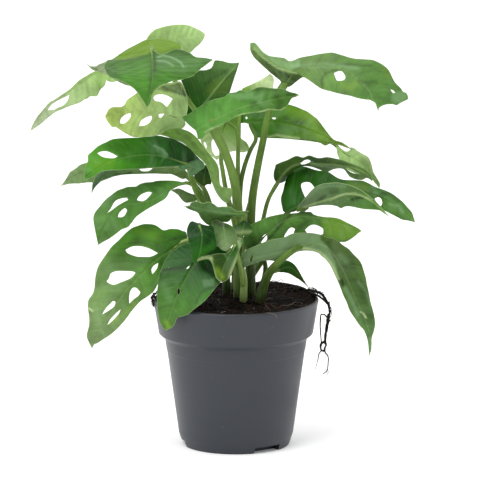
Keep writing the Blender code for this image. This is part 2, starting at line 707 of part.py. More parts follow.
            (270, 224), (266, 221), (272, 218), (284, 216), (300, 215.5), (313, 217.5), (324, 222),
            (312, 223.5), (300, 224), (286, 225.5), (276, 229),
        ),
        lean=(1.2, -1.0),
        colour=(0.09, 0.24, 0.05),
    ),
    Blade(
        "leaf_behind_stems",
        midrib=((226, 122, 74), (222, 134, 73), (218, 146, 71), (217, 160, 68)),
        outline=(
            (226, 119), (214, 121), (206, 127), (200, 134), (201, 142), (205, 150), (210, 155),
            (217, 160), (219.5, 157.5), (222, 153.5), (230, 152), (236, 151), (243, 152.5),
            (250, 150), (247, 143), (241, 138), (240, 131), (240, 122), (238, 116), (231, 116.5),
        ),
        holes=(
            ((203.4, 143), (204.6, 141.5), (206.6, 146), (206, 149)),
            ((211.5, 141), (214, 139), (217, 144), (219, 150), (218.8, 155), (215.5, 156), (212, 150)),
        ),
        lean=(-0.3, 0.3),
        colour=(0.3, 0.46, 0.1),
    ),
    Blade(
        "leaf_edge_centre",
        midrib=((246, 214, -24), (230, 213, -28), (212, 211, -32), (197, 208, -35), (184, 206, -37)),
        outline=(
            (249, 211), (243, 211), (236, 210.5), (231, 207.5), (224, 207), (218, 207),
            (214, 204), (209, 201.5), (203, 203), (196, 201.5), (190.5, 203.5), (190, 206),
            (184, 206), (188, 208.5), (193, 210.5), (198, 213), (200, 217), (204, 222),
            (208, 224.5), (213, 226), (220, 222), (228, 222), (231, 219), (233, 216.5),
            (238, 216.5), (245, 215.5),
        ),
        lean=(0.8, -0.8),
        colour=(0.08, 0.16, 0.06),
    ),
    Blade(
        "leaf_small_dome",
        midrib=((240, 236, -30), (243, 228, -28), (245, 220.5, -23)),
        outline=(
            (237, 238), (234, 229), (239, 223.3), (244.5, 220.5), (249, 224), (252.5, 230),
            (249, 234.5), (243, 236),
        ),
        lean=(0.5, 0.5),
        colour=(0.03, 0.09, 0.01),
    ),
)

SHOOTS = {
    "shoot_centre": (
        Tube(
            (
                (239, 316, -2), (239, 290, -2), (238.5, 250, -3), (238, 210, -5), (236, 190, -6),
                (232, 172, -8), (225.5, 153, -11), (216.5, 132, -16), (211, 124, -18.5),
            ),
            (4.5, 2.7),
            "leaf_centre_front",
        ),
        Tube(
            (
                (238, 215, -4), (235.5, 190, 4), (230, 168, 12), (221, 148, 18), (209, 127, 23),
                (195, 110, 27), (181, 90, 30), (170, 74, 24), (158, 58, 13), (151, 50, 6.5),
            ),
            (2.6, 1.4),
            "leaf_top_front",
        ),
        Tube(
            (
                (239, 215, -4), (241, 182, 2), (245.5, 163, 8), (251, 149, 14), (256, 138, 20),
                (252, 124.5, 23),
            ),
            (2.0, 1.3),
            "leaf_mid_right",
        ),
        Tube(
            (
                (237, 225, -4), (230, 205, 1), (225.5, 188, 3), (222.5, 170, 3), (221, 160, 2),
                (222, 150, 2), (219, 140, 4), (213, 130, 7), (204, 123, 10), (186, 120, 17.5),
            ),
            (2.0, 1.2),
            "leaf_under_top",
        ),
        Tube(
            ((238, 240, -4), (234, 222, -11), (230.5, 208, -15), (227.5, 202, -17.5)),
            (2.2, 1.4),
            "leaf_young_arching",
        ),
        Tube(
            (
                (238.5, 210, -4), (237.5, 185, 0), (238, 160, 8), (239, 134, 18), (240, 116, 24),
                (247, 99, 27),
            ),
            (1.8, 1.2),
            "leaf_sliver_centre",
        ),
        Tube(
            ((239, 250, -3), (237, 238, -12), (240, 226, -19), (245, 215.5, -23)),
            (1.8, 1.1),
            "leaf_edge_centre",
        ),
        Tube(
            ((239, 258, -3), (241, 249, -14), (241, 242.5, -24), (240, 237, -29)),
            (1.8, 1.1),
            "leaf_small_dome",
        ),
    ),
    "shoot_right": (
        Tube(
            (
                (250.6, 316, 6), (250.6, 290, 6), (250.2, 250, 6), (251, 220, 6), (252.2, 200, 6),
                (255.2, 180, 6), (259, 160, 6), (263.2, 140, 7), (266.8, 120, 9), (271, 106, 11),
                (279, 94, 12), (285.5, 86.5, 14.5),
            ),
            (4.3, 2.0),
            "leaf_top_right",
        ),
        Tube(
            (
                (250.5, 254, 6), (259, 234, 8), (263.5, 218, 5), (266, 207, 3), (269, 198, 1),
                (273, 190.5, -1), (278.5, 183.5, -2.5),
            ),
            (1.8, 1.3),
            "leaf_edge_on_right",
        ),
        Tube(
            (
                (250, 272, 6), (262, 254, 12), (270, 243, 14), (273, 232, 13), (280, 220, 9),
                (289, 211.5, 2), (296, 206, -8),
            ),
            (2.0, 1.3),
            "leaf_big_right",
        ),
        Tube(
            (
                (250, 280, 6), (262, 262, 15), (272, 246, 14), (278, 232, 8), (286, 222, 0),
                (296, 216, -8), (302, 212.3, -13), (304.5, 209.8, -19), (306.5, 207.5, -27),
            ),
            (1.8, 1.1),
            "leaf_underside_right",
        ),
        Tube(
            (
                (251, 244, 6), (254, 205, 13), (258, 170, 20), (261.5, 148, 25), (265, 134, 29),
                (276, 126, 34), (294, 127, 36), (318, 136, 36), (331, 142.2, 33), (337, 147, 30.5),
            ),
            (1.6, 1.1),
            "leaf_far_right",
        ),
    ),
    "shoot_left": (
        Tube(
            (
                (227, 316, 10), (227, 292, 10), (224, 260, 8), (216, 230, 4), (206, 206, -2),
                (197, 194, -8), (191, 178, -13), (189, 167, -16),
            ),
            (3.8, 1.3),
            "leaf_big_left",
        ),
        Tube(
            ((216, 232, 4), (209, 210, 2), (202, 196, -4), (194, 186, -10), (188.5, 183, -12.5)),
            (1.8, 1.1),
            "leaf_three_holes",
        ),
        Tube(
            ((220, 244, 7), (211, 214, 8), (201, 192, 8), (186, 176, 4)),
            (1.8, 1.1),
            "leaf_left_strip",
        ),
        Tube(
            ((222, 250, 8), (213, 214, 12), (200, 184, 18), (160, 164, 26), (119, 170, 23)),
            (2.0, 1.1),
            "leaf_left_tip",
        ),
        Tube(
            ((214, 226, 4), (207, 212, 3), (202, 204, 2), (197, 198, 2)),
            (1.8, 1.1),
            "leaf_fold_left",
        ),
        Tube(
            ((214, 226, 4), (208, 206, 1), (204, 194, 0), (203.5, 187, -1)),
            (1.6, 1.1),
            "leaf_shaded_left",
        ),
    ),
    "shoot_front": (
        Tube(
            (
                (243.5, 320, -16), (243.5, 298, -16), (243.5, 276, -16.5), (237, 259, -18),
                (226, 249, -20), (212, 242, -22), (196, 239, -21), (182, 243.5, -19.5),
            ),
            (3.3, 1.3),
            "leaf_six_holes",
        ),
        Tube(
            ((243, 280, -16.5), (236, 263, -22), (224, 253, -27), (207, 254, -32.5)),
            (2.0, 1.2),
            "leaf_over_rim",
        ),
        Tube(
            ((240, 264, -17.5), (226, 246, -20), (213, 237, -27), (205, 230, -35), (200, 226, -40.5)),
            (1.8, 1.1),
            "leaf_small_dark",
        ),
        Tube(
            ((241.5, 268, -17.5), (235, 246, -24), (229, 230, -30), (224.5, 226.5, -34)),
            (1.8, 1.1),
            "leaf_pale_small",
        ),
        Tube(
            ((243, 286, -16.5), (240.5, 268, -26), (237.5, 254, -36), (235.5, 245.5, -42)),
            (1.8, 1.1),
            "leaf_curled_centre",
        ),
    ),
    "shoot_front_right": (
        Tube(
            (
                (260, 320, -20), (260, 302, -20), (263.5, 286, -22), (270, 272, -27),
                (281, 260, -34), (293, 250.5, -37), (300, 247.5, -35),
            ),
            (4.8, 1.7),
            "leaf_arching_right",
        ),
        Tube(
            (
                (260.5, 296, -20), (264, 279, -20), (265.5, 267, -17.5), (262.5, 256, -15.5),
                (256, 248, -16),
            ),
            (2.2, 1.3),
            "leaf_lower_right",
        ),
        Tube(
            ((261, 290, -20), (266, 279, -4), (273, 272, 8), (279, 271, 13)),
            (1.8, 1.1),
            "leaf_small_right",
        ),
    ),
    "shoot_back": (
        Tube(
            (
                (235, 308, 26), (235, 290, 26), (236, 250, 26), (236.5, 212, 28), (235, 190, 31),
                (230, 170, 35), (222, 150, 42), (211, 129, 48), (198, 104, 56), (188, 80, 63),
                (177, 61, 69),
            ),
            (3.2, 1.2),
            "leaf_back_left",
        ),
        Tube(
            (
                (236, 226, 28), (234, 192, 29), (229, 168, 31), (220.5, 146, 34), (209, 127, 36),
                (194.5, 118, 36),
            ),
            (2.2, 1.3),
            "leaf_behind_right",
        ),
        Tube(
            (
                (233, 184, 32), (227, 162, 40), (216, 136, 46), (198, 100, 58), (178, 70, 56),
                (153, 52, 46),
            ),
            (1.9, 1.2),
            "leaf_top_back",
        ),
        Tube(
            (
                (230, 170, 35), (220, 144, 52), (206, 118, 58), (182, 92, 58), (166, 84, 50),
                (147, 77, 42),
            ),
            (1.8, 1.1),
            "leaf_drip_left",
        ),
        Tube(
            (
                (232, 178, 33), (223, 150, 50), (210, 124, 64), (196, 106, 70), (176, 90, 72),
                (150, 78, 70), (122, 74, 64),
            ),
            (1.9, 1.1),
            "leaf_far_left",
        ),
        Tube(
            ((236.5, 212, 28), (238, 180, 40), (238, 152, 50), (236, 130, 56), (227, 119.5, 58)),
            (1.8, 1.1),
            "leaf_back_centre",
        ),
        Tube(
            (
                (236.5, 220, 28), (237.5, 190, 50), (237.5, 162, 70), (237, 142, 80),
                (233.5, 128, 82), (226.5, 122, 76),
            ),
            (1.6, 1.1),
            "leaf_behind_stems",
        ),
        Tube(
            (
                (236, 250, 26), (246, 216, 27), (253, 190, 29), (257, 165, 32), (262, 138, 36),
                (267, 112, 41), (275, 95, 43), (285, 81.5, 44.5),
            ),
            (1.8, 1.1),
            "leaf_back_high",
        ),
        Tube(
            ((235.5, 276, 26), (218, 258, 22), (206, 250, 20), (197, 256, 21)),
            (1.8, 1.1),
            "leaf_back_low_left",
        ),
        Tube(
            ((235.5, 268, 26), (246, 244, 26), (258, 228, 22), (269, 224, 22)),
            (1.8, 1.1),
            "leaf_back_low_right",
        ),
    ),
}

ROOTS = {
    "root_right": (
        Tube(
            (
                (300, 290.6, 24), (308, 290.6, 20), (314.5, 291.4, 14), (320.5, 293.3, 6),
                (326, 300, 2), (329.5, 311, -2), (328, 322, -4), (325.6, 334, -4),
                (324.8, 341, -4), (325.8, 346, -4), (324.6, 351, -4), (328.5, 357, -4),
                (328, 365, -4), (326.5, 371, -5), (322.5, 374, -5),
            ),
            (1.4, 0.6),
        ),
        Tube(
            (
                (309, 291.9, 17), (313.5, 293.9, 7), (318.5, 295.7, 1), (322.5, 298.8, 0),
                (326.8, 303.5, 1),
            ),
            (0.9, 0.7),
        ),
        Tube(
            (
                (328.6, 319, -3.5), (324, 314.5, -3), (321, 314, -3), (320.4, 319, -4),
                (320.4, 330, -5), (321, 341, -4.5), (321, 344, -4.5),
            ),
            (0.6, 0.5),
        ),
        Tube(
            (
                (325, 341.5, -4), (321.5, 343, -4.5), (320.3, 347, -5), (321.5, 350.5, -4.5),
                (324.8, 351, -4),
            ),
            (0.9, 0.8),
        ),
        Tube(
            ((321.5, 350, -4.5), (318.5, 354, -4), (317.5, 360, -5), (315.5, 370, -4)),
            (0.6, 0.35),
        ),
    ),
    "root_left": (
        Tube(
            (
                (164, 294.2, 14), (157.2, 292.8, 11), (154.1, 295.0, 2), (152.3, 299.4, -6),
                (153.6, 306, -10),
            ),
            (0.7, 0.45),
        ),
    ),
}
ROOT_COLOUR = (0.02, 0.013, 0.01)
STEM_COLOUR = (0.19, 0.33, 0.07)


def clear_scene():
    """Remove every object of the start-up scene."""
    for item in list(bpy.data.objects):
        bpy.data.objects.remove(item, do_unlink=True)


def new_collection(name):
    """A new collection in the scene."""
    group = bpy.data.collections.new(name)
    bpy.context.scene.collection.children.link(group)
    return group


def new_material(name, colour, roughness):
    """A Principled BSDF material."""
    material = bpy.data.materials.new(name)
    material.use_nodes = True
    shader = material.node_tree.nodes["Principled BSDF"]
    shader.inputs["Base Color"].default_value = (*colour, 1.0)
    shader.inputs["Roughness"].default_value = roughness
    material.diffuse_color = (*colour, 1.0)
    return material


def new_object(name, bm, group, material=None):
    """A mesh object from a bmesh, which is freed."""
    mesh = bpy.data.meshes.new(name)
    bm.to_mesh(mesh)
    bm.free()
    item = bpy.data.objects.new(name, mesh)
    group.objects.link(item)
    if material:
        mesh.materials.append(material)
    return item


def cutter_object(name, bm, cutters):
    """A cutter from a bmesh, kept out of renders."""
    item = new_object(name, bm, cutters)
    item.hide_render = True
    item.display_type = "WIRE"
    return item


def subtract(item, cutter):
    """Cut one object out of another with a live Boolean."""
    cut = item.modifiers.new("Cut", "BOOLEAN")
    cut.operation = "DIFFERENCE"
    cut.solver = "EXACT"
    cut.object = cutter


def bake(item):
    """Replace an object's mesh with what its modifiers make."""
    graph = bpy.context.evaluated_depsgraph_get()
    mesh = bpy.data.meshes.new_from_object(item.evaluated_get(graph))
    item.modifiers.clear()
    item.data = mesh


def turned(name, profile, group, material=None):
    """A turned solid: (radius, height) down the outer side, through Screw."""
    bm = bmesh.new()
    points = [bm.verts.new((radius, 0.0, height)) for radius, height in profile]
    for first, second in zip(points, points[1:]):
        bm.edges.new((first, second))
    item = new_object(name, bm, group, material)
    screw = item.modifiers.new("Screw", "SCREW")
    screw.angle = math.tau
    screw.steps = POT_STEPS
    screw.render_steps = POT_STEPS
    screw.use_merge_vertices = True
    screw.merge_threshold = WELD
    bake(item)
    return item


def base_wedge(name, cutters, inner, height, angle, centre):
    """A block across the edge of the base, turned to its angle about Z."""
    outer = BODY_FOOT_RADIUS + 10.0 * MM
    below = 1.0 * MM
    width = 2.0 * math.sin(math.radians(angle / 2.0)) * BASE_RADIUS
    bm = bmesh.new()
    bmesh.ops.create_cube(bm, size=1.0)
    bmesh.ops.scale(bm, vec=(outer - inner, width, height + below), verts=bm.verts)
    bmesh.ops.translate(bm, vec=((outer + inner) / 2.0, 0.0, (height - below) / 2.0), verts=bm.verts)
    bmesh.ops.rotate(bm, matrix=Matrix.Rotation(math.radians(centre), 3, "Z"), verts=bm.verts)
    return cutter_object(name, bm, cutters)


def drill(name, cutters, place, radius, depth, segments):
    """An upright round cutter centred on a place."""
    bm = bmesh.new()
    bmesh.ops.create_cone(
        bm, cap_ends=True, segments=segments, radius1=radius, radius2=radius, depth=depth
    )
    bmesh.ops.translate(bm, vec=place, verts=bm.verts)
    return cutter_object(name, bm, cutters)


def body_radius(height):
    """Outer radius of the pot's plain body at a height."""
    share = (height - FOOT_CHAMFER_HEIGHT) / (BAND_FOOT - FOOT_CHAMFER_HEIGHT)
    return BODY_FOOT_RADIUS + (BODY_TOP_RADIUS - BODY_FOOT_RADIUS) * share


def pot_profile():
    """The outer side of the pot, from its closed top down to its base."""
    ring_radius = body_radius(RING_TOP)
    return (
        (0.0, POT_HEIGHT),
        (RIM_RADIUS - LIP, POT_HEIGHT),
        (RIM_RADIUS, POT_HEIGHT - LIP),
        (RIM_RADIUS - RING_DEPTH, POT_HEIGHT - 3.0 * LIP),
        (BAND_FOOT_RADIUS + RING_DEPTH, BAND_FOOT + LIP),
        (BAND_FOOT_RADIUS - 2.0 * RING_DEPTH, BAND_FOOT),
        (body_radius(BODY_TOP) + RING_DEPTH, BODY_TOP),
        (ring_radius + RING_DEPTH, RING_TOP),
        (ring_radius, RING_TOP - 2.0 * RING_DEPTH),
        (BODY_FOOT_RADIUS, FOOT_CHAMFER_HEIGHT),
        (BASE_RADIUS + 0.8 * MM, 2.0 * MM),
        (BASE_RADIUS, 0.0),
        (0.0, 0.0),
    )


def cavity_profile():
    """The inside of the pot, open above the rim."""
    above = POT_HEIGHT + 2.0 * MM
    return (
        (0.0, above),
        (MOUTH_RADIUS, above),
        (MOUTH_RADIUS, POT_HEIGHT - LIP),
        (BAND_FOOT_RADIUS - WALL, BAND_FOOT + LIP),
        (body_radius(BODY_TOP) - WALL, BODY_TOP - LIP),
        (BODY_FOOT_RADIUS - WALL, FOOT_CHAMFER_HEIGHT),
        (BASE_RADIUS - WALL, FLOOR + LIP),
        (BASE_RADIUS - WALL - LIP, FLOOR),
        (0.0, FLOOR),
    )


def make_pot(parts, cutters):
    """The nursery pot: a turned wall with three drainage notches in its base."""
    plastic = new_material("pot_plastic", (0.075, 0.080, 0.095), 0.42)
    pot = turned("pot", pot_profile(), parts, plastic)
    cavity = turned("pot_cavity", cavity_profile(), cutters)
    cavity.hide_render = True
    cavity.display_type = "WIRE"
    hood_angle = NOTCH_ANGLE + 2.0 * math.degrees(WALL / BASE_RADIUS)
    hood_radius = NOTCH_INNER_RADIUS - WALL
    hood_height = NOTCH_HEIGHT + WALL
    drain_ring = (NOTCH_INNER_RADIUS + BASE_RADIUS - WALL) / 2.0
    openings = []
    for index in range(NOTCHES):
        centre = FIRST_NOTCH + index * 360.0 / NOTCHES
        turn = Matrix.Rotation(math.radians(centre), 3, "Z")
        hood = base_wedge(f"hood_{index}", cutters, hood_radius, hood_height, hood_angle, centre)
        subtract(cavity, hood)
        notch = base_wedge(
            f"notch_{index}", cutters, NOTCH_INNER_RADIUS, NOTCH_HEIGHT, NOTCH_ANGLE, centre
        )
        place = turn @ Vector((drain_ring, 0.0, hood_height))
        drain = drill(f"drain_{index}", cutters, place, DRAIN_HOLE_RADIUS, 5.0 * WALL, 12)
        openings += [notch, drain]
    bake(cavity)
    subtract(pot, cavity)
    for opening in openings:
        subtract(pot, opening)
    bake(pot)
    pot.data.shade_smooth()
    pot.data.set_sharp_from_angle(angle=SHARP_EDGE)


def soil_height(x, y):
    """Height of the lumpy soil surface, heaped a little round the stems."""
    radius = math.hypot(x, y)
    heap = SOIL_HEAP * max(0.0, 1.0 - (radius / MOUTH_RADIUS) ** 2)
    lumps = noise.fractal(Vector((x, y, 0.0)) / SOIL_LUMP, 1.0, 2.0, 3)
    fade = min(1.0, (MOUTH_RADIUS - radius) / SOIL_LUMP)
    return SOIL_LEVEL + heap + SOIL_ROUGHNESS * lumps * fade


def make_soil(parts):
    """The potting soil, clear of the pot's wall, floor and hoods."""
    slope = (RIM_RADIUS - BAND_FOOT_RADIUS) / BAND_HEIGHT
    edge = MOUTH_RADIUS - GAP - slope * (POT_HEIGHT - SOIL_LEVEL)
    inset = WALL + GAP
    hood_radius = NOTCH_INNER_RADIUS - WALL
    ledge = NOTCH_HEIGHT + inset
    profile = [(edge * ring / SOIL_RINGS, SOIL_LEVEL) for ring in range(SOIL_RINGS + 1)]
    profile += [
        (BAND_FOOT_RADIUS - inset, BAND_FOOT + LIP),
        (body_radius(BODY_TOP) - inset, BODY_TOP - LIP),
        (BODY_FOOT_RADIUS - inset - GAP, ledge + 4.0 * MM),
        (BODY_FOOT_RADIUS - inset - 2.4 * MM, ledge),
        (hood_radius - 1.0 * MM, ledge),
        (hood_radius - 1.0 * MM, FLOOR + GAP),
        (0.0, FLOOR + GAP),
    ]
    earth = new_material("potting_soil", (0.022, 0.014, 0.010), 0.95)
    soil = turned("soil", profile, parts, earth)
    for vertex in soil.data.vertices:
        if vertex.co.z > SOIL_LEVEL - GAP:
            vertex.co.z = soil_height(vertex.co.x, vertex.co.y)
    return soil


def drill_soil(soil, stems, cutters):
    """Cut a plain round hole in the soil for each stem's foot."""
    depth = 60.0 * MM
    for name, foot, radius in stems:
        place = foot + Vector((0.0, 0.0, depth / 2.0 - GAP))
        subtract(soil, drill(f"hole_{name}", cutters, place, radius + STEM_CLEARANCE, depth, 16))
    bake(soil)


def spline(points, closed=False, corner=None, pieces=1):
    """Catmull-Rom points through the given ones, kept as corners where sharp.

    pieces is a number for every span, or a function of the span's two ends.
    """
    count = len(points)
    spans = count if closed else count - 1
    result = []
    for index in range(spans):
        p1 = Vector(points[index])
        p2 = Vector(points[(index + 1) % count])
        p0 = Vector(points[(index - 1) % count]) if closed or index > 0 else p1
        p3 = Vector(points[(index + 2) % count]) if closed or index + 2 < count else p2
        if corner and is_corner(p0, p1, p2, corner):
            p0 = p1
        if corner and is_corner(p1, p2, p3, corner):
            p3 = p2
        steps = pieces if isinstance(pieces, int) else pieces(p1, p2)
        handles = (p1, p1 + (p2 - p0) / 6.0, p2 - (p3 - p1) / 6.0, p2)
        result += interpolate_bezier(*[handle.to_3d() for handle in handles], steps + 1)[:-1]
    if not closed:
        result.append(Vector(points[-1]).to_3d())
    return result


def is_corner(before, here, after, limit):
    """Whether a line turns by more than the limit at a point."""
    first, second = here - before, after - here
    if first.length == 0.0 or second.length == 0.0:
        return False
    return first.angle(second) > limit


class Sheet:
    """The bent surface that a blade is cut from."""

    def __init__(self, blade):
        self.blade = blade
        self.line = spline(blade.midrib, pieces=6)

    def locate(self, u, v):
        """Depth of the nearest place on the midrib, and the width from it, left positive.

        The first and last pieces of the midrib are taken to go on for ever.
        """
        best = None
        last = len(self.line) - 2
        for index, (a, b) in enumerate(zip(self.line, self.line[1:])):
            du, dv = b.x - a.x, b.y - a.y
            span = du * du + dv * dv
            share = ((u - a.x) * du + (v - a.y) * dv) / span
            if index > 0:
                share = max(share, 0.0)
            if index < last:
                share = min(share, 1.0)
            off_u, off_v = u - a.x - share * du, v - a.y - share * dv
            distance = off_u * off_u + off_v * off_v
            if best is None or distance < best[0]:
                side = (off_u * dv - off_v * du) / math.sqrt(span)
                best = (distance, a.z + share * (b.z - a.z), side)
        return best[1], best[2]

    def place(self, u, v):
        """The sheet's place in space under a point of the drawing."""
        depth, side = self.locate(u, v)
        width = abs(side) * DRAWING_UNIT / MM
        lean = self.blade.lean[0] if side > 0.0 else self.blade.lean[1]
        return from_drawing(u, v, depth + lean * width + self.blade.cup * width * width / CUP_WIDTH)


def inside(u, v, loop):
    """Whether a point of the drawing lies inside a closed loop."""
    odd = False
    for a, b in zip(loop, loop[1:] + loop[:1]):
        if (a.y > v) != (b.y > v) and u < a.x + (v - a.y) / (b.y - a.y) * (b.x - a.x):
            odd = not odd
    return odd


def edge_distance(u, v, loop):
    """Distance from a point of the drawing to a loop."""
    point = Vector((u, v, 0.0))
    distances = []
    for a, b in zip(loop, loop[1:] + loop[:1]):
        nearest, share = intersect_point_line(point, a, b)
        nearest = a.lerp(b, min(max(share, 0.0), 1.0))
        distances.append((point - nearest).length)
    return min(distances)


def grid_points(loop, rib, step, free):
    """Points in staggered rows over a blade, off its edges and its midrib."""
    low_u = min(point.x for point in loop)
    high_u = max(point.x for point in loop)
    high_v = max(point.y for point in loop)
    v = min(point.y for point in loop) + step * 0.45
    points = []
    shift = 0.4
    while v < high_v:
        u = low_u + step * shift
        while u < high_u:
            near_rib = any(math.hypot(u - point.x, v - point.y) < step * 0.6 for point in rib)
            if not near_rib and free(u, v, step * 0.35):
                points.append(Vector((u, v)))
            u += step
        v += step * 0.87
        shift = 1.3 - shift
    return points


def blade_mesh(blade):
    """The blade's thin sheet: its outline and holes filled with triangles."""
    sheet = Sheet(blade)
    step = GRID_STEP / DRAWING_UNIT

    def pieces(first, second):
        """How many straight pieces a span of the outline gets."""
        length = (sheet.place(second.x, second.y) - sheet.place(first.x, first.y)).length
        return max(1, round(length / OUTLINE_STEP))

    outlines = (blade.outline, *blade.holes)
    loops = [spline(outline, True, OUTLINE_CORNER, pieces) for outline in outlines]

    def free(u, v, margin):
        """Whether a point lies on the blade, clear of its edges."""
        if not inside(u, v, loops[0]) or any(inside(u, v, hole) for hole in loops[1:]):
            return False
        return all(edge_distance(u, v, loop) > margin for loop in loops)

    points = []
    edges = []
    for loop in loops:
        start = len(points)
        points += [point.to_2d() for point in loop]
        edges += [(start + i, start + (i + 1) % len(loop)) for i in range(len(loop))]
    rib = [point for point in sheet.line[::2] if free(point.x, point.y, step * 0.22)]
    points += [point.to_2d() for point in rib]
    points += grid_points(loops[0], rib, step, free)
    flat, _, faces, _, _, _ = delaunay_2d_cdt(points, edges, [], 1, 1e-5)
    bm = bmesh.new()
    corners = [bm.verts.new(sheet.place(point.x, point.y)) for point in flat]
    for face in faces:
        middle = sum((flat[index] for index in face), Vector((0.0, 0.0))) / len(face)
        if not any(inside(middle.x, middle.y, hole) for hole in loops[1:]):
            bm.faces.new([corners[index] for index in face])
    loose = [corner for corner in bm.verts if not corner.link_faces]
    bmesh.ops.delete(bm, geom=loose, context="VERTS")
    bmesh.ops.recalc_face_normals(bm, faces=bm.faces)
    if sum(face.normal.y * face.calc_area() for face in bm.faces) > 0.0:
        bmesh.ops.reverse_faces(bm, faces=bm.faces)
    return bm


def make_blade(blade, parts):
    """A leaf blade as a thin closed solid; returns a search tree of its sheet."""
    leaf = new_material(blade.name, blade.colour, 0.45)
    item = new_object(blade.name, blade_mesh(blade), parts, leaf)
    tree = BVHTree.FromObject(item, bpy.context.evaluated_depsgraph_get())
    solid = item.modifiers.new("Solidify", "SOLIDIFY")
    solid.thickness = BLADE_THICKNESS
    solid.offset = 0.0
    bake(item)
    item.data.shade_smooth()
    item.data.set_sharp_from_angle(angle=SHARP_EDGE)
    return tree


def end_distance(path, radius, tree):
    """How near the flat end of a petiole's path comes to its blade's sheet."""
    end = path[-1]
    along = (end - path[-2]).normalized()
    side = along.orthogonal().normalized() * radius
    turns = [Matrix.Rotation(math.tau * index / 8.0, 3, along) for index in range(8)]
    ring = [end] + [end + turn @ side for turn in turns]
    return min(tree.find_nearest(point)[3] for point in ring)


def seat(path, radius, tree):
    """Lengthen or shorten a petiole so that its end stops just short of its blade."""
    clearance = BLADE_THICKNESS / 2.0 + GAP
    step = GAP / 3.0
    path = [point.copy() for point in path]
    place = tree.find_nearest(path[-1])[0]
    while (place - path[-1]).length > step and end_distance(path, radius, tree) > clearance + step:
        path[-1] += (place - path[-1]).normalized() * step
    while len(path) > 2 and end_distance(path, radius, tree) < clearance:
        end, before = path[-1], path[-2]
        if (end - before).length < GAP:
            path.pop()
        else:
            path[-1] = end - (end - before).normalized() * step
    return path


def tube_object(name, tube, group, material, trees):
    """A tube as a capped, welded mesh; returns it and the place of its foot."""

    def pieces(first, second):
        """How many straight pieces a span of the tube gets."""
        return max(1, round((second - first).length / TUBE_STEP))

    route = spline([from_drawing(*point) for point in tube.points], pieces=pieces)
    if tube.blade:
        route = seat(route, tube.radii[1] * MM, trees[tube.blade])
    curve = bpy.data.curves.new(name, "CURVE")
    curve.dimensions = "3D"
    curve.bevel_depth = 1.0 * MM
    curve.bevel_resolution = 2
    curve.render_resolution_u = 0
    curve.use_fill_caps = True
    line = curve.splines.new("POLY")
    line.points.add(len(route) - 1)
    first, last = tube.radii
    for index, point in enumerate(route):
        line.points[index].co = (*point, 1.0)
        line.points[index].radius = first + (last - first) * (index / (len(route) - 1)) ** TAPER
    curved = bpy.data.objects.new(name, curve)
    group.objects.link(curved)
    graph = bpy.context.evaluated_depsgraph_get()
    mesh = bpy.data.meshes.new_from_object(curved.evaluated_get(graph))
    bpy.data.objects.remove(curved)
    bm = bmesh.new()
    bm.from_mesh(mesh)
    bmesh.ops.remove_doubles(bm, verts=bm.verts, dist=WELD)
    bmesh.ops.recalc_face_normals(bm, faces=bm.faces)
    bpy.data.meshes.remove(mesh)
    return new_object(name, bm, group, material), route[0]


def fuse_tubes(name, tubes, parts, material, trees):
    """Several tubes joined into one body by a Boolean union; returns its foot."""
    joined = new_collection(name + "_tubes")
    trunk, foot = tube_object(name, tubes[0], parts, material, trees)
    for index, tube in enumerate(tubes[1:]):
        tube_object(f"{name}_{index}", tube, joined, material, trees)
    if len(tubes) > 1:
        union = trunk.modifiers.new("Union", "BOOLEAN")
        union.operation = "UNION"
        union.solver = "MANIFOLD"
        union.operand_type = "COLLECTION"
        union.collection = joined
        bake(trunk)
    for item in list(joined.objects):
        bpy.data.objects.remove(item)
    bpy.data.collections.remove(joined)
    trunk.data.shade_smooth()
    return foot


def main():
    """Build the plant and its pot."""
    clear_scene()
    parts = new_collection("potted_monstera")
    cutters = new_collection("cutters")
    make_pot(parts, cutters)
    soil = make_soil(parts)
    trees = {blade.name: make_blade(blade, parts) for blade in BLADES}
    stems = []
    for name, tubes in SHOOTS.items():
        skin = new_material(name, STEM_COLOUR, 0.5)
        foot = fuse_tubes(name, tubes, parts, skin, trees)
        stems.append((name, foot, tubes[0].radii[0] * MM))
    drill_soil(soil, stems, cutters)
    for name, tubes in ROOTS.items():
        skin = new_material(name, ROOT_COLOUR, 0.8)
        fuse_tubes(name, tubes, parts, skin, trees)


main()
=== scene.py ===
"""Potted monstera: the finished look of a young Swiss-cheese plant in a nursery pot.

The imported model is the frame. Each blade, shoot and root, the soil and the pot are
built again with their fine surface, dressed, and stand for the frame's nodes. Units
are metres, +Z is up and -Y is the front. Leaves, petioles and roots lie on a front
drawing: (u, v) in drawing units, v downwards, with a depth in millimetres as their Y.
"""

import logging
import math
import random
from collections.abc import Callable, Sequence
from dataclasses import dataclass
from enum import Enum

import bmesh
import bpy
from mathutils import Matrix, Vector, noise
from mathutils.geometry import interpolate_bezier
from mathutils.kdtree import KDTree


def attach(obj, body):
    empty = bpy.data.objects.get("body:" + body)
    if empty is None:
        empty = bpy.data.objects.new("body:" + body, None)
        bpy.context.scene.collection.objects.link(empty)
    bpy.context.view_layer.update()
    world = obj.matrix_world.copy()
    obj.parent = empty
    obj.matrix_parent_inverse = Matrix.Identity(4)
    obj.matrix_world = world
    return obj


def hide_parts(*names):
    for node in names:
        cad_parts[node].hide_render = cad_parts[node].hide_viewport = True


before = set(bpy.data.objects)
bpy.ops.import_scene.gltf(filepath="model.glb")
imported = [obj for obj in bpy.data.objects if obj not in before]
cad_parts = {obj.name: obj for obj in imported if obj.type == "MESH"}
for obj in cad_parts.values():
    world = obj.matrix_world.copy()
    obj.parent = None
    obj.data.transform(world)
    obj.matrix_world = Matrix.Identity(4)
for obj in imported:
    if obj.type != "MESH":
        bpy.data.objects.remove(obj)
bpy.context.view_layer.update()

LOG = logging.getLogger("potted_monstera")
MM = 0.001
RIB_MAP = 0.1  # metres of blade in one unit of its own map
SEED = 7

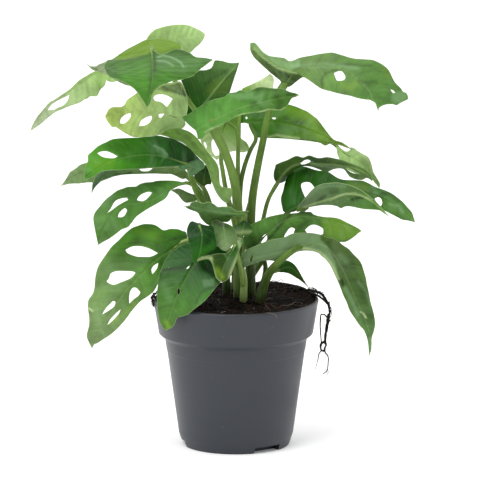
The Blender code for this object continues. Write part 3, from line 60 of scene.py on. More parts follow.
# Front drawing: an eye straight in front of the pot, a little above it
EYE_DISTANCE = 4.4
EYE_ELEVATION = math.radians(10.9)
EYE_TARGET = Vector((2.9 * MM, 0.0, 150.4 * MM))
DRAWING_CENTRE = 240.0
DRAWING_UNIT = 0.724 * MM

Point = tuple[float, float]
DeepPoint = tuple[float, float, float]
Colour = tuple[float, float, float]


def screen(red: float, green: float, blue: float) -> Colour:
    """A linear colour from its screen values, 0 to 255."""
    shares = [value / 255.0 for value in (red, green, blue)]
    return tuple(x / 12.92 if x < 0.04045 else ((x + 0.055) / 1.055) ** 2.4 for x in shares)


def smooth_step(value: float, low: float, high: float) -> float:
    """A smooth rise from 0 at low to 1 at high."""
    share = min(max((value - low) / (high - low), 0.0), 1.0)
    return share * share * (3.0 - 2.0 * share)


def eye_axes() -> tuple[Vector, Vector]:
    """The viewing direction of the drawing's eye and its upward direction."""
    forward = Vector((0.0, math.cos(EYE_ELEVATION), -math.sin(EYE_ELEVATION)))
    return forward, Vector((0.0, math.sin(EYE_ELEVATION), math.cos(EYE_ELEVATION)))


def from_drawing(u: float, v: float, depth: float) -> Vector:
    """A point of the front drawing as a place in space.

    Args:
        u: drawing units to the right.
        v: drawing units downwards.
        depth: the place's Y in millimetres.

    Returns:
        The place in metres.
    """
    forward, up = eye_axes()
    across = (u - DRAWING_CENTRE) * DRAWING_UNIT / EYE_DISTANCE
    rise = (DRAWING_CENTRE - v) * DRAWING_UNIT / EYE_DISTANCE
    eye = EYE_TARGET - EYE_DISTANCE * forward
    ray = forward + across * Vector((1.0, 0.0, 0.0)) + rise * up
    return eye + ray * ((depth * MM - eye.y) / ray.y)


def is_corner(before: Vector, here: Vector, after: Vector, limit: float) -> bool:
    """Whether a line turns by more than a limit in radians at a point."""
    first, second = here - before, after - here
    return min(first.length, second.length) > 0.0 and first.angle(second) > limit


def spline(
    points: Sequence,
    closed: bool = False,
    corner: float = math.pi,
    pieces: int | Callable[[Vector, Vector], int] = 1,
) -> list[Vector]:
    """Catmull-Rom points through the given ones.

    Args:
        points: the points to pass through.
        closed: whether the line closes on itself.
        corner: the turn in radians from which a point stays a corner.
        pieces: how many pieces each span gets, or a function of its two ends.

    Returns:
        The finer points, in 3D.
    """
    count = len(points)
    result = []
    for index in range(count if closed else count - 1):
        p1 = Vector(points[index])
        p2 = Vector(points[(index + 1) % count])
        p0 = Vector(points[(index - 1) % count]) if closed or index > 0 else p1
        p3 = Vector(points[(index + 2) % count]) if closed or index + 2 < count else p2
        if is_corner(p0, p1, p2, corner):
            p0 = p1
        if is_corner(p1, p2, p3, corner):
            p3 = p2
        steps = pieces if isinstance(pieces, int) else pieces(p1, p2)
        handles = (p1, p1 + (p2 - p0) / 6.0, p2 - (p3 - p1) / 6.0, p2)
        result += interpolate_bezier(*[handle.to_3d() for handle in handles], steps + 1)[:-1]
    if not closed:
        result.append(Vector(points[-1]).to_3d())
    return result


class Value:
    """A shader socket whose arithmetic adds Math nodes."""

    def __init__(self, shader: "Shader", socket: bpy.types.NodeSocket) -> None:
        """Wrap an output socket of a shader's tree."""
        self.shader = shader
        self.socket = socket

    def maths(self, operation: str, *values: "Value | float") -> "Value":
        """A Math node on this value and the given ones."""
        sockets = dict(enumerate((self, *values)))
        return self.shader.output("ShaderNodeMath", {"operation": operation}, sockets, 0)

    def reflected(self, operation: str, value: float) -> "Value":
        """A Math node with a number first and this value second."""
        return self.shader.output("ShaderNodeMath", {"operation": operation}, {0: value, 1: self}, 0)

    def __add__(self, other: "Value | float") -> "Value":
        """The sum."""
        return self.maths("ADD", other)

    __radd__ = __add__

    def __sub__(self, other: "Value | float") -> "Value":
        """The difference."""
        return self.maths("SUBTRACT", other)

    def __rsub__(self, other: float) -> "Value":
        """The difference from a number."""
        return self.reflected("SUBTRACT", other)

    def __mul__(self, other: "Value | float") -> "Value":
        """The product."""
        return self.maths("MULTIPLY", other)

    __rmul__ = __mul__

    def __truediv__(self, other: "Value | float") -> "Value":
        """The quotient."""
        return self.maths("DIVIDE", other)

    def __abs__(self) -> "Value":
        """The size without its sign."""
        return self.maths("ABSOLUTE")

    def __gt__(self, other: float) -> "Value":
        """1 where the value is greater."""
        return self.maths("GREATER_THAN", other)


class Shader:
    """The node tree of a new material, or of a world."""

    def __init__(self, name: str, world: bool = False) -> None:
        """Start the tree with its Principled BSDF or its Background.

        Args:
            name: the material's or the world's name.
            world: whether it is a world.
        """
        self.owner = (bpy.data.worlds if world else bpy.data.materials).new(name)
        self.owner.use_nodes = True
        self.tree = self.owner.node_tree
        self.surface = self.tree.nodes["Background" if world else "Principled BSDF"]

    def feed(self, socket: bpy.types.NodeSocket, value: object) -> None:
        """Link a value to a socket, or set the socket to a number or colour."""
        if isinstance(value, Value):
            self.tree.links.new(value.socket, socket)
        elif isinstance(value, tuple) and len(socket.default_value) == len(value) + 1:
            socket.default_value = (*value, 1.0)
        else:
            socket.default_value = value

    def node(self, kind: str, settings: dict, sockets: dict) -> bpy.types.Node:
        """Add a node.

        Args:
            kind: the node's type.
            settings: its properties, set first.
            sockets: values or links of its inputs, by name or number.

        Returns:
            The node.
        """
        node = self.tree.nodes.new(kind)
        for key, value in settings.items():
            setattr(node, key, value)
        for key, value in sockets.items():
            self.feed(node.inputs[key], value)
        return node

    def output(self, kind: str, settings: dict, sockets: dict, name: str | int) -> Value:
        """Add a node and return one of its outputs."""
        return Value(self, self.node(kind, settings, sockets).outputs[name])

    def mix(self, share: Value | float, first: Value | Colour, second: Value | Colour) -> Value:
        """A colour between two others."""
        sockets = {0: share, 6: first, 7: second}
        return self.output("ShaderNodeMix", {"data_type": "RGBA"}, sockets, 2)

    def scaled(self, colour: Value | Colour, factor: Value | float) -> Value:
        """A colour made lighter or darker."""
        return self.output("ShaderNodeVectorMath", {"operation": "SCALE"}, {0: colour, 3: factor}, 0)

    def band(self, value: Value, low: float, high: float, first: float, last: float) -> Value:
        """A smooth change from first at low to last at high."""
        sockets = dict(enumerate((value, low, high, first, last)))
        return self.output("ShaderNodeMapRange", {"interpolation_type": "SMOOTHSTEP"}, sockets, 0)

    def attribute(self, name: str) -> Value:
        """A number stored on the mesh."""
        return self.output("ShaderNodeAttribute", {"attribute_name": name}, {}, "Fac")

    def split(self, vector: Value) -> tuple[Value, Value, Value]:
        """A vector's three numbers."""
        node = self.node("ShaderNodeSeparateXYZ", {}, {0: vector})
        return tuple(Value(self, node.outputs[index]) for index in range(3))

    def joined(self, x: Value | float, y: Value | float, z: Value | float) -> Value:
        """A vector from three numbers."""
        return self.output("ShaderNodeCombineXYZ", {}, {0: x, 1: y, 2: z}, 0)

    def place(self) -> Value:
        """Object coordinates."""
        return self.output("ShaderNodeTexCoord", {}, {}, "Object")

    def rib_map(self) -> Value:
        """The piece's own map: along and across its rib."""
        return self.output("ShaderNodeUVMap", {"uv_map": "rib"}, {}, 0)

    def grain(self, place: Value, scale: float, detail: float = 2.0, seed: float = 0.0) -> Value:
        """Noise from 0 to 1, shifted by a seed."""
        sockets = {"Vector": place, "Scale": scale, "Detail": detail, "W": seed}
        return self.output("ShaderNodeTexNoise", {"noise_dimensions": "4D"}, sockets, 0)

    def cells(self, place: Value, scale: float, feature: str = "DISTANCE_TO_EDGE") -> Value:
        """Voronoi distances, to the cells' edges or to their centres."""
        sockets = {"Vector": place, "Scale": scale}
        return self.output("ShaderNodeTexVoronoi", {"feature": feature}, sockets, "Distance")

    def bump(self, height: Value, distance: float, strength: float = 1.0) -> Value:
        """A normal from a height."""
        sockets = {"Height": height, "Distance": distance, "Strength": strength}
        return self.output("ShaderNodeBump", {}, sockets, 0)

    def finish(self, **sockets: object) -> bpy.types.Material | bpy.types.World:
        """Feed the surface's sockets, named with underscores, and return the tree's owner."""
        for key, value in sockets.items():
            self.feed(self.surface.inputs[key.replace("_", " ")], value)
        return self.owner


class Face(Enum):
    """Which face of a blade the front drawing shows."""

    UPPER = 1.0
    UNDER = -1.0


def path(places: str) -> tuple[Point | DeepPoint, ...]:
    """The numbers of a path written as places on the drawing, such as "u,v u,v"."""
    return tuple(tuple(float(number) for number in place.split(",")) for place in places.split())


@dataclass(frozen=True)
class Blade:
    """A leaf blade on the front drawing, laid on a bent sheet.

    midrib: "u,v,depth" places from the blade's base to its tip.
    outline: "u,v" places once round the edge and, after each "/", round a hole.
    lean: depth gained per unit of width, left and right of the midrib.
    cup: further depth in mm at a width of 30 mm, growing with its square.
    """

    name: str
    midrib: str
    outline: str
    lean: Point = (0.0, 0.0)
    cup: float = 0.0


@dataclass(frozen=True)
class Tube:
    """A petiole, stem or root: "u,v,depth" places, its end radii in mm and its blade."""

    path: str
    radii: Point
    blade: str = ""


class Paint(Enum):
    """What a mark changes: the number stored for the blade's finish."""

    TONE = "tone"
    PALE = "pale"
    SHEEN = "sheen"
    WARM = "warm"


TONE, PALE, SHEEN, WARM = Paint


@dataclass(frozen=True)
class Mark:
    """A streak or a patch on a blade, laid out on the drawing.

    TONE lightens or darkens, partly as painted shade in creases, folds and shaded parts and painted light
    on lit parts, partly as the blade's own tone; PALE bleaches; SHEEN greys, as a painted highlight or as
    an underside's grey; WARM yellows.
    width: half the streak's width, or how soft the patch's edge is, in drawing units.
    closed: whether the points go round a patch.
    """

    paint: Paint
    amount: float
    width: float
    points: tuple[Point, ...]
    closed: bool

    REACH = 2.2  # the widths beyond which it counts for nothing

    def weight(self, u: float, v: float) -> float:
        """How strongly the mark counts at a point of the drawing.

        Args:
            u: drawing units to the right.
            v: drawing units downwards.

        Returns:
            The weight, from 0 to 1.
        """
        reach = self.REACH * self.width
        for spot, places in zip((u, v), zip(*self.points)):
            if not min(places) - reach < spot < max(places) + reach:
                return 0.0
        nearest, inside = reach, False
        following = self.points[1:] + (self.points[:1] if self.closed or len(self.points) == 1 else ())
        for (a, b), (c, d) in zip(self.points, following):
            span = max((c - a) ** 2 + (d - b) ** 2, 1e-9)
            share = min(max(((u - a) * (c - a) + (v - b) * (d - b)) / span, 0.0), 1.0)
            nearest = min(nearest, math.hypot(u - a - share * (c - a), v - b - share * (d - b)))
            if (b > v) != (d > v) and u < a + (v - b) * (c - a) / (d - b):
                inside = not inside
        if self.closed:
            return smooth_step(nearest if inside else -nearest, -self.width, self.width)
        return math.exp(-((nearest / self.width) ** 2))


def streak(paint: Paint, amount: float, width: float, places: str) -> Mark:
    """A mark along a line, or round one point."""
    return Mark(paint, amount, width, path(places), False)


def patch(paint: Paint, amount: float, width: float, places: str) -> Mark:
    """A mark that fills an outline."""
    return Mark(paint, amount, width, path(places), True)


class Green(Enum):
    """The greens of the leaves, as red, green and blue on a screen; the deepest ones partly hold painted
    shade, for blades that lie in shade among the others.
    """

    NIGHT = (15, 75, 5)
    BOTTLE = (15, 60, 15)
    PINE = (30, 65, 35)
    IVY = (30, 82, 8)
    MOSS = (54, 80, 15)
    FOREST = (58, 98, 28)
    SHADE = (55, 86, 52)
    LAUREL = (58, 115, 18)
    FERN = (72, 115, 45)
    BAY = (88, 120, 28)
    DUSK = (80, 113, 60)
    SAGE = (88, 107, 75)
    CLOVER = (80, 134, 52)
    MEADOW = (102, 134, 70)
    REED = (110, 135, 84)
    APPLE = (116, 158, 68)
    PEAR = (120, 145, 98)
    CELERY = (152, 186, 108)
    WILLOW = (154, 170, 132)
    LIME = (180, 214, 138)
    SPRING = (204, 228, 130)
    FROST = (203, 222, 168)


@dataclass(frozen=True)
class Look:
    """A blade's colours and surface.

    base and tip: the greens at the two ends of the blade.
    face: which face the drawing shows; puff: height of the quilting in mm.
    edge sets how pale its margin is; the number after it sets how much painted sheen, a greyish highlight
    in patches, it gets.
    """

    base: Green
    tip: Green
    face: Face = Face.UPPER
    marks: tuple[Mark, ...] = ()
    puff: float = 0.4
    edge: float = 0.25
    painted_sheen: float = 0.2
    slot: str = "leaf_green"


@dataclass(frozen=True)
class StalkLook:
    """How much lighter or darker a petiole is at its foot and its end, and how pale; the darker feet are
    partly painted shade low among the crowded stems.
    """

    foot: float = -0.35
    end: float = -0.15
    pale: float = 0.1


# The face that the drawing doesn't show takes this share of this colour
UNSHOWN: dict[Face, tuple[float, Colour]] = {
    Face.UNDER: (0.6, screen(128, 160, 108)),
    Face.UPPER: (0.7, screen(70, 125, 50)),
}


class Sheet:
    """The bent surface that a blade is cut from."""

    FOLD = 1.2  # how softly it bends over the midrib, in mm
    CUP_WIDTH = 30.0  # the width in mm at which a blade's cup is given
    STRIDE = 0.5  # the drawing units over which its direction is measured

    def __init__(self, blade: Blade) -> None:
        """Lay out the midrib and measure it.

        Args:
            blade: the blade as drawn.
        """
        self.blade = blade
        self.line = spline(path(blade.midrib), pieces=6)
        spots = [from_drawing(*point) for point in self.line]
        self.lengths = [0.0]
        for first, second in zip(spots, spots[1:]):
            self.lengths.append(self.lengths[-1] + (second - first).length / MM)
        self.length = self.lengths[-1]

    def locate(self, u: float, v: float) -> DeepPoint:
        """A point's place by the midrib.

        The first and last pieces of the midrib are taken to go on for ever.

        Args:
            u: drawing units to the right.
            v: drawing units downwards.

        Returns:
            The midrib's depth there, the length along it and the width from it, in
            millimetres, left of base to tip positive.
        """
        best = None
        last = len(self.line) - 2
        for index, (a, b) in enumerate(zip(self.line, self.line[1:])):
            du, dv = b.x - a.x, b.y - a.y
            span = du * du + dv * dv
            share = ((u - a.x) * du + (v - a.y) * dv) / span
            share = max(share, 0.0) if index > 0 else share
            share = min(share, 1.0) if index < last else share
            off_u, off_v = u - a.x - share * du, v - a.y - share * dv
            distance = off_u * off_u + off_v * off_v
            if best is None or distance < best[0]:
                best = (distance, index, share, (off_u * dv - off_v * du) / math.sqrt(span))
        _, index, share, side = best
        piece = self.lengths[index + 1] - self.lengths[index]
        depth = self.line[index].z + share * (self.line[index + 1].z - self.line[index].z)
        return depth, self.lengths[index] + share * piece, side * DRAWING_UNIT / MM

    def place(self, u: float, v: float) -> Vector:
        """The sheet's place in space under a point of the drawing.

        Args:
            u: drawing units to the right.
            v: drawing units downwards.

        Returns:
            The place in metres.
        """
        depth, _, side = self.locate(u, v)
        width = math.hypot(side, self.FOLD) - self.FOLD
        lean = self.blade.lean[0] if side > 0.0 else self.blade.lean[1]
        cup = self.blade.cup * side * side / self.CUP_WIDTH
        return from_drawing(u, v, depth + lean * width + cup)

    def normal(self, u: float, v: float) -> Vector:
        """The sheet's direction towards the drawing's eye.

        Args:
            u: drawing units to the right.
            v: drawing units downwards.

        Returns:
            A unit vector.
        """
        here = self.place(u, v)
        right, down = self.place(u + self.STRIDE, v), self.place(u, v + self.STRIDE)
        across = (right - here).cross(down - here)
        return across.normalized() * (1.0 if across.y < 0.0 else -1.0)


class Piece:
    """A finished mesh that stands for nodes of the frame."""

    def __init__(self, name: str, bm: bmesh.types.BMesh, *finishes: bpy.types.Material) -> None:
        """Make the object from a bmesh, which is freed.

        Args:
            name: the object's name.
            bm: its mesh, in place.
            finishes: its materials, in order.
        """
        mesh = bpy.data.meshes.new(name)
        bm.to_mesh(mesh)
        bm.free()
        for finish in finishes:
            mesh.materials.append(finish)
        self.item = bpy.data.objects.new(name, mesh)
        bpy.context.scene.collection.objects.link(self.item)

    def shade(self, angle: float = 40.0) -> "Piece":
        """Shade smooth.

        Args:
            angle: the angle in degrees from which an edge stays sharp.

        Returns:
            The piece itself.
        """
        self.item.data.shade_smooth()
        self.item.data.set_sharp_from_angle(angle=math.radians(angle))
        return self

    def combine(self, operation: str, others: "list[Piece]") -> "Piece":
        """Join or cut this piece by others with Booleans.

        Args:
            operation: "UNION" or "DIFFERENCE".
            others: the other pieces, which are removed.

        Returns:
            The piece itself.
        """
        for other in others:
            cut = self.item.modifiers.new(operation, "BOOLEAN")
            cut.operation = operation
            cut.solver = "MANIFOLD"
            cut.object = other.item
        graph = bpy.context.evaluated_depsgraph_get()
        mesh = bpy.data.meshes.new_from_object(self.item.evaluated_get(graph))
        self.item.modifiers.clear()
        self.item.data = mesh
        for other in others:
            bpy.data.objects.remove(other.item)
        return self

    def belong(self, slot: str, *nodes: str) -> None:
        """Ride on the plant and stand for nodes.

        Args:
            slot: the record's material slot; not used.
            nodes: the frame's nodes that the piece replaces, none for an added piece.
        """
        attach(self.item, "root")
        if nodes:
            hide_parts(*nodes)
        faces = len(self.item.data.polygons)
        LOG.info("%s: %d faces for %s", self.item.name, faces, ", ".join(nodes) or "itself")


@dataclass
class Leaf:
    """A leaf blade with its edge, holes, veins and quilting.

    Lengths are in millimetres. thin: the margin's share of the rib's thickness.
    corner: the turn in degrees from which a point of an edge stays a corner.
    veins: how many side veins it has on a side, their pitch kept within pitches.
    rib_fade: the share of the rib's extra thickness that is gone at the tip.
    margin_puff: the share of the quilting left at the margin; it grows over puff_margin
    from there and over rib_flat from the rib.
    tail_share and tail_most: how far the petiole runs on under the rib.
    """

    blade: Blade
    look: Look
    cell: float = 1.05
    edge_step: float = 1.2
    corner: float = 70.0
    thickness: float = 1.7
    thin: float = 0.28
    rib_width: float = 1.1
    rib_fade: float = 0.75
    lift: float = 0.2
    groove: float = 0.45
    groove_width: float = 0.9
    veins: float = 8.5
    pitches: Point = (5.0, 12.5)
    vein_slant: float = 0.6
    vein_curve: float = 0.004
    puff_power: float = 0.8
    puff_margin: float = 6.0
    margin_puff: float = 0.45
    rib_flat: float = 4.0
    lumps: float = 0.6
    lump_length: float = 11.0
    ripple: float = 0.35
    ripple_length: float = 3.6
    ripple_width: float = 7.0
    patterns: int = 97
    tail_share: float = 0.3
    tail_most: float = 12.0

    # Where the petiole is seated: share of its tail, and of its radius that is left there
    SEATS = ((0.0, 1.0), (0.45, 0.62), (1.0, 0.3))

    def __post_init__(self) -> None:
        """Lay out the sheet and space the side veins along it."""
        self.sheet = Sheet(self.blade)
        least, most = self.pitches
        self.pitch = min(max(self.sheet.length / self.veins, least), most)

    def drawn_loops(self) -> list[list[Vector]]:
        """The outline and the holes on the drawing.

        Returns:
            A fine closed line for each.
        """

        def pieces(first: Vector, second: Vector) -> int:
            """How many straight pieces a span gets."""
            length = (self.sheet.place(*second[:2]) - self.sheet.place(*first[:2])).length
            return max(1, round(length / (self.edge_step * MM)))

        loops = self.blade.outline.split("/")
        return [spline(path(loop), True, math.radians(self.corner), pieces) for loop in loops]

    def cut_cells(self, bm: bmesh.types.BMesh) -> None:
        """Cut the flat blade into cells along and across its length.

        Args:
            bm: the flat blade on the drawing, its fill edges marked as seams.
        """
        base, tip = self.sheet.line[0].to_2d(), self.sheet.line[-1].to_2d()
        along = (tip - base).normalized()
        across = Vector((-along.y, along.x))
        middle = sum((vertex.co.to_2d() for vertex in bm.verts), Vector((0.0, 0.0))) / len(bm.verts)
        for direction in (along, across):
            first = self.sheet.place(*(middle - direction))
            stretch = (self.sheet.place(*(middle + direction)) - first).length / (2.0 * DRAWING_UNIT)
            step = self.cell * MM / DRAWING_UNIT / min(max(stretch, 1.0), 2.5)
            spots = [direction.dot(vertex.co.to_2d()) for vertex in bm.verts]
            position = min(spots) + step * 0.6
            while position < max(spots):
                plane = (position * direction).to_3d()
                geometry = bm.verts[:] + bm.edges[:] + bm.faces[:]
                bmesh.ops.bisect_plane(
                    bm, geom=geometry, dist=0.1, plane_co=plane, plane_no=direction.to_3d()
                )
                position += step
        fill = [edge for edge in bm.edges if edge.seam and len(edge.link_faces) == 2]
        bmesh.ops.dissolve_edges(bm, edges=fill, use_verts=False)
        spare = [v for v in bm.verts if len(v.link_edges) == 2 and not v.is_boundary]
        bmesh.ops.dissolve_verts(bm, verts=spare)

    def relief(self, along: float, side: float, margin: float) -> float:
        """Height of the surface over the sheet.

        Args:
            along: length along the midrib in mm.
            side: width from the midrib in mm, left positive.
            margin: distance from the nearest edge in mm.

        Returns:
            The height in millimetres, towards the blade's upper face.
        """
        width = abs(side)
        reach = along - self.vein_slant * width - self.vein_curve * width * width
        phase = reach / self.pitch + (0.5 if side > 0.0 else 0.0)
        puff = abs(math.sin(math.pi * phase)) ** self.puff_power
        lump = noise.noise(Vector((along, side, 3.0)) / self.lump_length)
        swell = self.look.puff * (puff - 0.5 + self.lumps * lump)
        swell *= smooth_step(width, 0.0, self.rib_flat)
        inward = smooth_step(margin, 0.0, self.puff_margin)
        swell *= self.margin_puff + (1.0 - self.margin_puff) * inward
        wave = self.ripple * math.sin(along / self.ripple_length + (1.7 if side > 0.0 else 0.0))
        wave *= 1.0 - smooth_step(margin, 0.0, self.ripple_width)
        return swell + wave - self.groove * math.exp(-((side / self.groove_width) ** 2))

    def flat_blade(self) -> bmesh.types.BMesh:
        """Fill the blade flat on the drawing and cut it into cells.

        Returns:
            The flat blade.
        """
        bm = bmesh.new()
        for loop in self.drawn_loops():
            corners = [bm.verts.new((point.x, point.y, 0.0)) for point in loop]
            for first, second in zip(corners, corners[1:] + corners[:1]):
                bm.edges.new((first, second))
        bmesh.ops.triangle_fill(bm, use_beauty=True, use_dissolve=False, edges=bm.edges[:])
        for edge in bm.edges:
            edge.seam = len(edge.link_faces) == 2
        self.cut_cells(bm)
        return bm

    def surface(self) -> bmesh.types.BMesh:
        """Bend the flat blade to its sheet and give it its relief.

        Returns:
            The blade's upper surface in space, with its map and its stored numbers.
        """
        bm = self.flat_blade()
        drawn = [vertex.co.to_2d() for vertex in bm.verts]
        edge = [index for index, vertex in enumerate(bm.verts) if vertex.is_boundary]
        located = [self.sheet.locate(*point) for point in drawn]
        for vertex, point in zip(bm.verts, drawn):
            vertex.co = self.sheet.place(*point)
        tree = KDTree(len(edge))
        bm.verts.ensure_lookup_table()
        for index in edge:
            tree.insert(bm.verts[index].co, index)
        tree.balance()
        bmesh.ops.recalc_face_normals(bm, faces=bm.faces)
        facing = sum(face.normal.y * face.calc_area() for face in bm.faces) < 0.0
        if facing != (self.look.face is Face.UPPER):
            bmesh.ops.reverse_faces(bm, faces=bm.faces)
        bm.normal_update()
        layers = bm.verts.layers
        stores = {paint: layers.float.new(paint.value) for paint in Paint}
        margins = layers.float.new("margin")
        thick = layers.deform.verify()
        moves = []
        for vertex, point, (_, along, side) in zip(bm.verts, drawn, located):
            margin = 0.0 if vertex.is_boundary else tree.find(vertex.co)[2] / MM
            vertex[margins] = margin
            for mark in self.look.marks:
                vertex[stores[mark.paint]] += mark.amount * mark.weight(*point)
            ridge = math.exp(-((side / self.rib_width) ** 2)) * smooth_step(margin, 0.2, 2.0)
            share = min(max(along / self.sheet.length, 0.0), 1.0)
            vertex[thick][0] = ridge * (1.0 - self.rib_fade * share)
            moves.append(vertex.normal * (self.relief(along, side, margin) + self.lift) * MM)
        rib_map = bm.loops.layers.uv.new("rib")
        for vertex, (_, along, side) in zip(bm.verts, located):
            for loop in vertex.link_loops:
                loop[rib_map].uv = (along * MM / RIB_MAP, side * MM / RIB_MAP)
        for vertex, move in zip(bm.verts, moves):
            vertex.co += move
        return bm

    def finish(self, face: Face) -> "LeafFinish":
        """The finish of one face.

        Args:
            face: which face.

        Returns:
            The finish, in the look's greens or, on the face behind, in paler or deeper ones.
        """
        ends = [screen(*green.value) for green in (self.look.base, self.look.tip)]
        if face is not self.look.face:
            share, colour = UNSHOWN[face]
            ends = [
                tuple(own * (1.0 - share) + other * share for own, other in zip(end, colour))
                for end in ends
            ]
        seed = float(sum(map(ord, self.blade.name)) % self.patterns)
        return LeafFinish(
            *ends, face, self.sheet.length, self.pitch, self.vein_slant, self.vein_curve,
            self.look.edge, self.look.painted_sheen, seed,
        )

    def build(self) -> None:
        """Make the blade's piece, thick at its rib, and dress both its faces."""
        name = self.blade.name.replace("leaf_", "blade_")
        finishes = [self.finish(face).material(f"{name}_{face.name.lower()}") for face in Face]
        piece = Piece(name, self.surface(), *finishes)
        piece.item.vertex_groups.new(name="rib")
        solid = piece.item.modifiers.new("Body", "SOLIDIFY")
        solid.thickness = self.thickness * MM
        solid.vertex_group = "rib"
        solid.thickness_vertex_group = self.thin
        solid.offset = -1.0
        solid.material_offset = 1
        piece.item.data.shade_smooth()
        piece.belong(self.look.slot, self.blade.name)

    @property
    def tail(self) -> float:
        """How far the petiole runs on under the rib."""
        return min(self.tail_most, self.tail_share * self.sheet.length)

    def seat(self, radius: float) -> list[Vector]:
        """Where the petiole meets the blade.

        Args:
            radius: the petiole's radius in mm.

        Returns:
            Places under the blade's base and further along the rib, each deep enough for
            the petiole, as thin as it is there, to stay under the blade's upper face.
        """
        spots = []
        for share, thickness in self.SEATS:
            along = share * self.tail
            index = max(i for i, length in enumerate(self.sheet.lengths[:-1]) if length <= along)
            first, second = self.sheet.line[index:index + 2]
            piece = self.sheet.lengths[index + 1] - self.sheet.lengths[index]
            spot = first.lerp(second, (along - self.sheet.lengths[index]) / piece)
            down = self.sheet.normal(spot.x, spot.y) * -self.look.face.value
            drop = radius * thickness + 0.1
            spots.append(self.sheet.place(spot.x, spot.y) + down * drop * MM)
        return spots


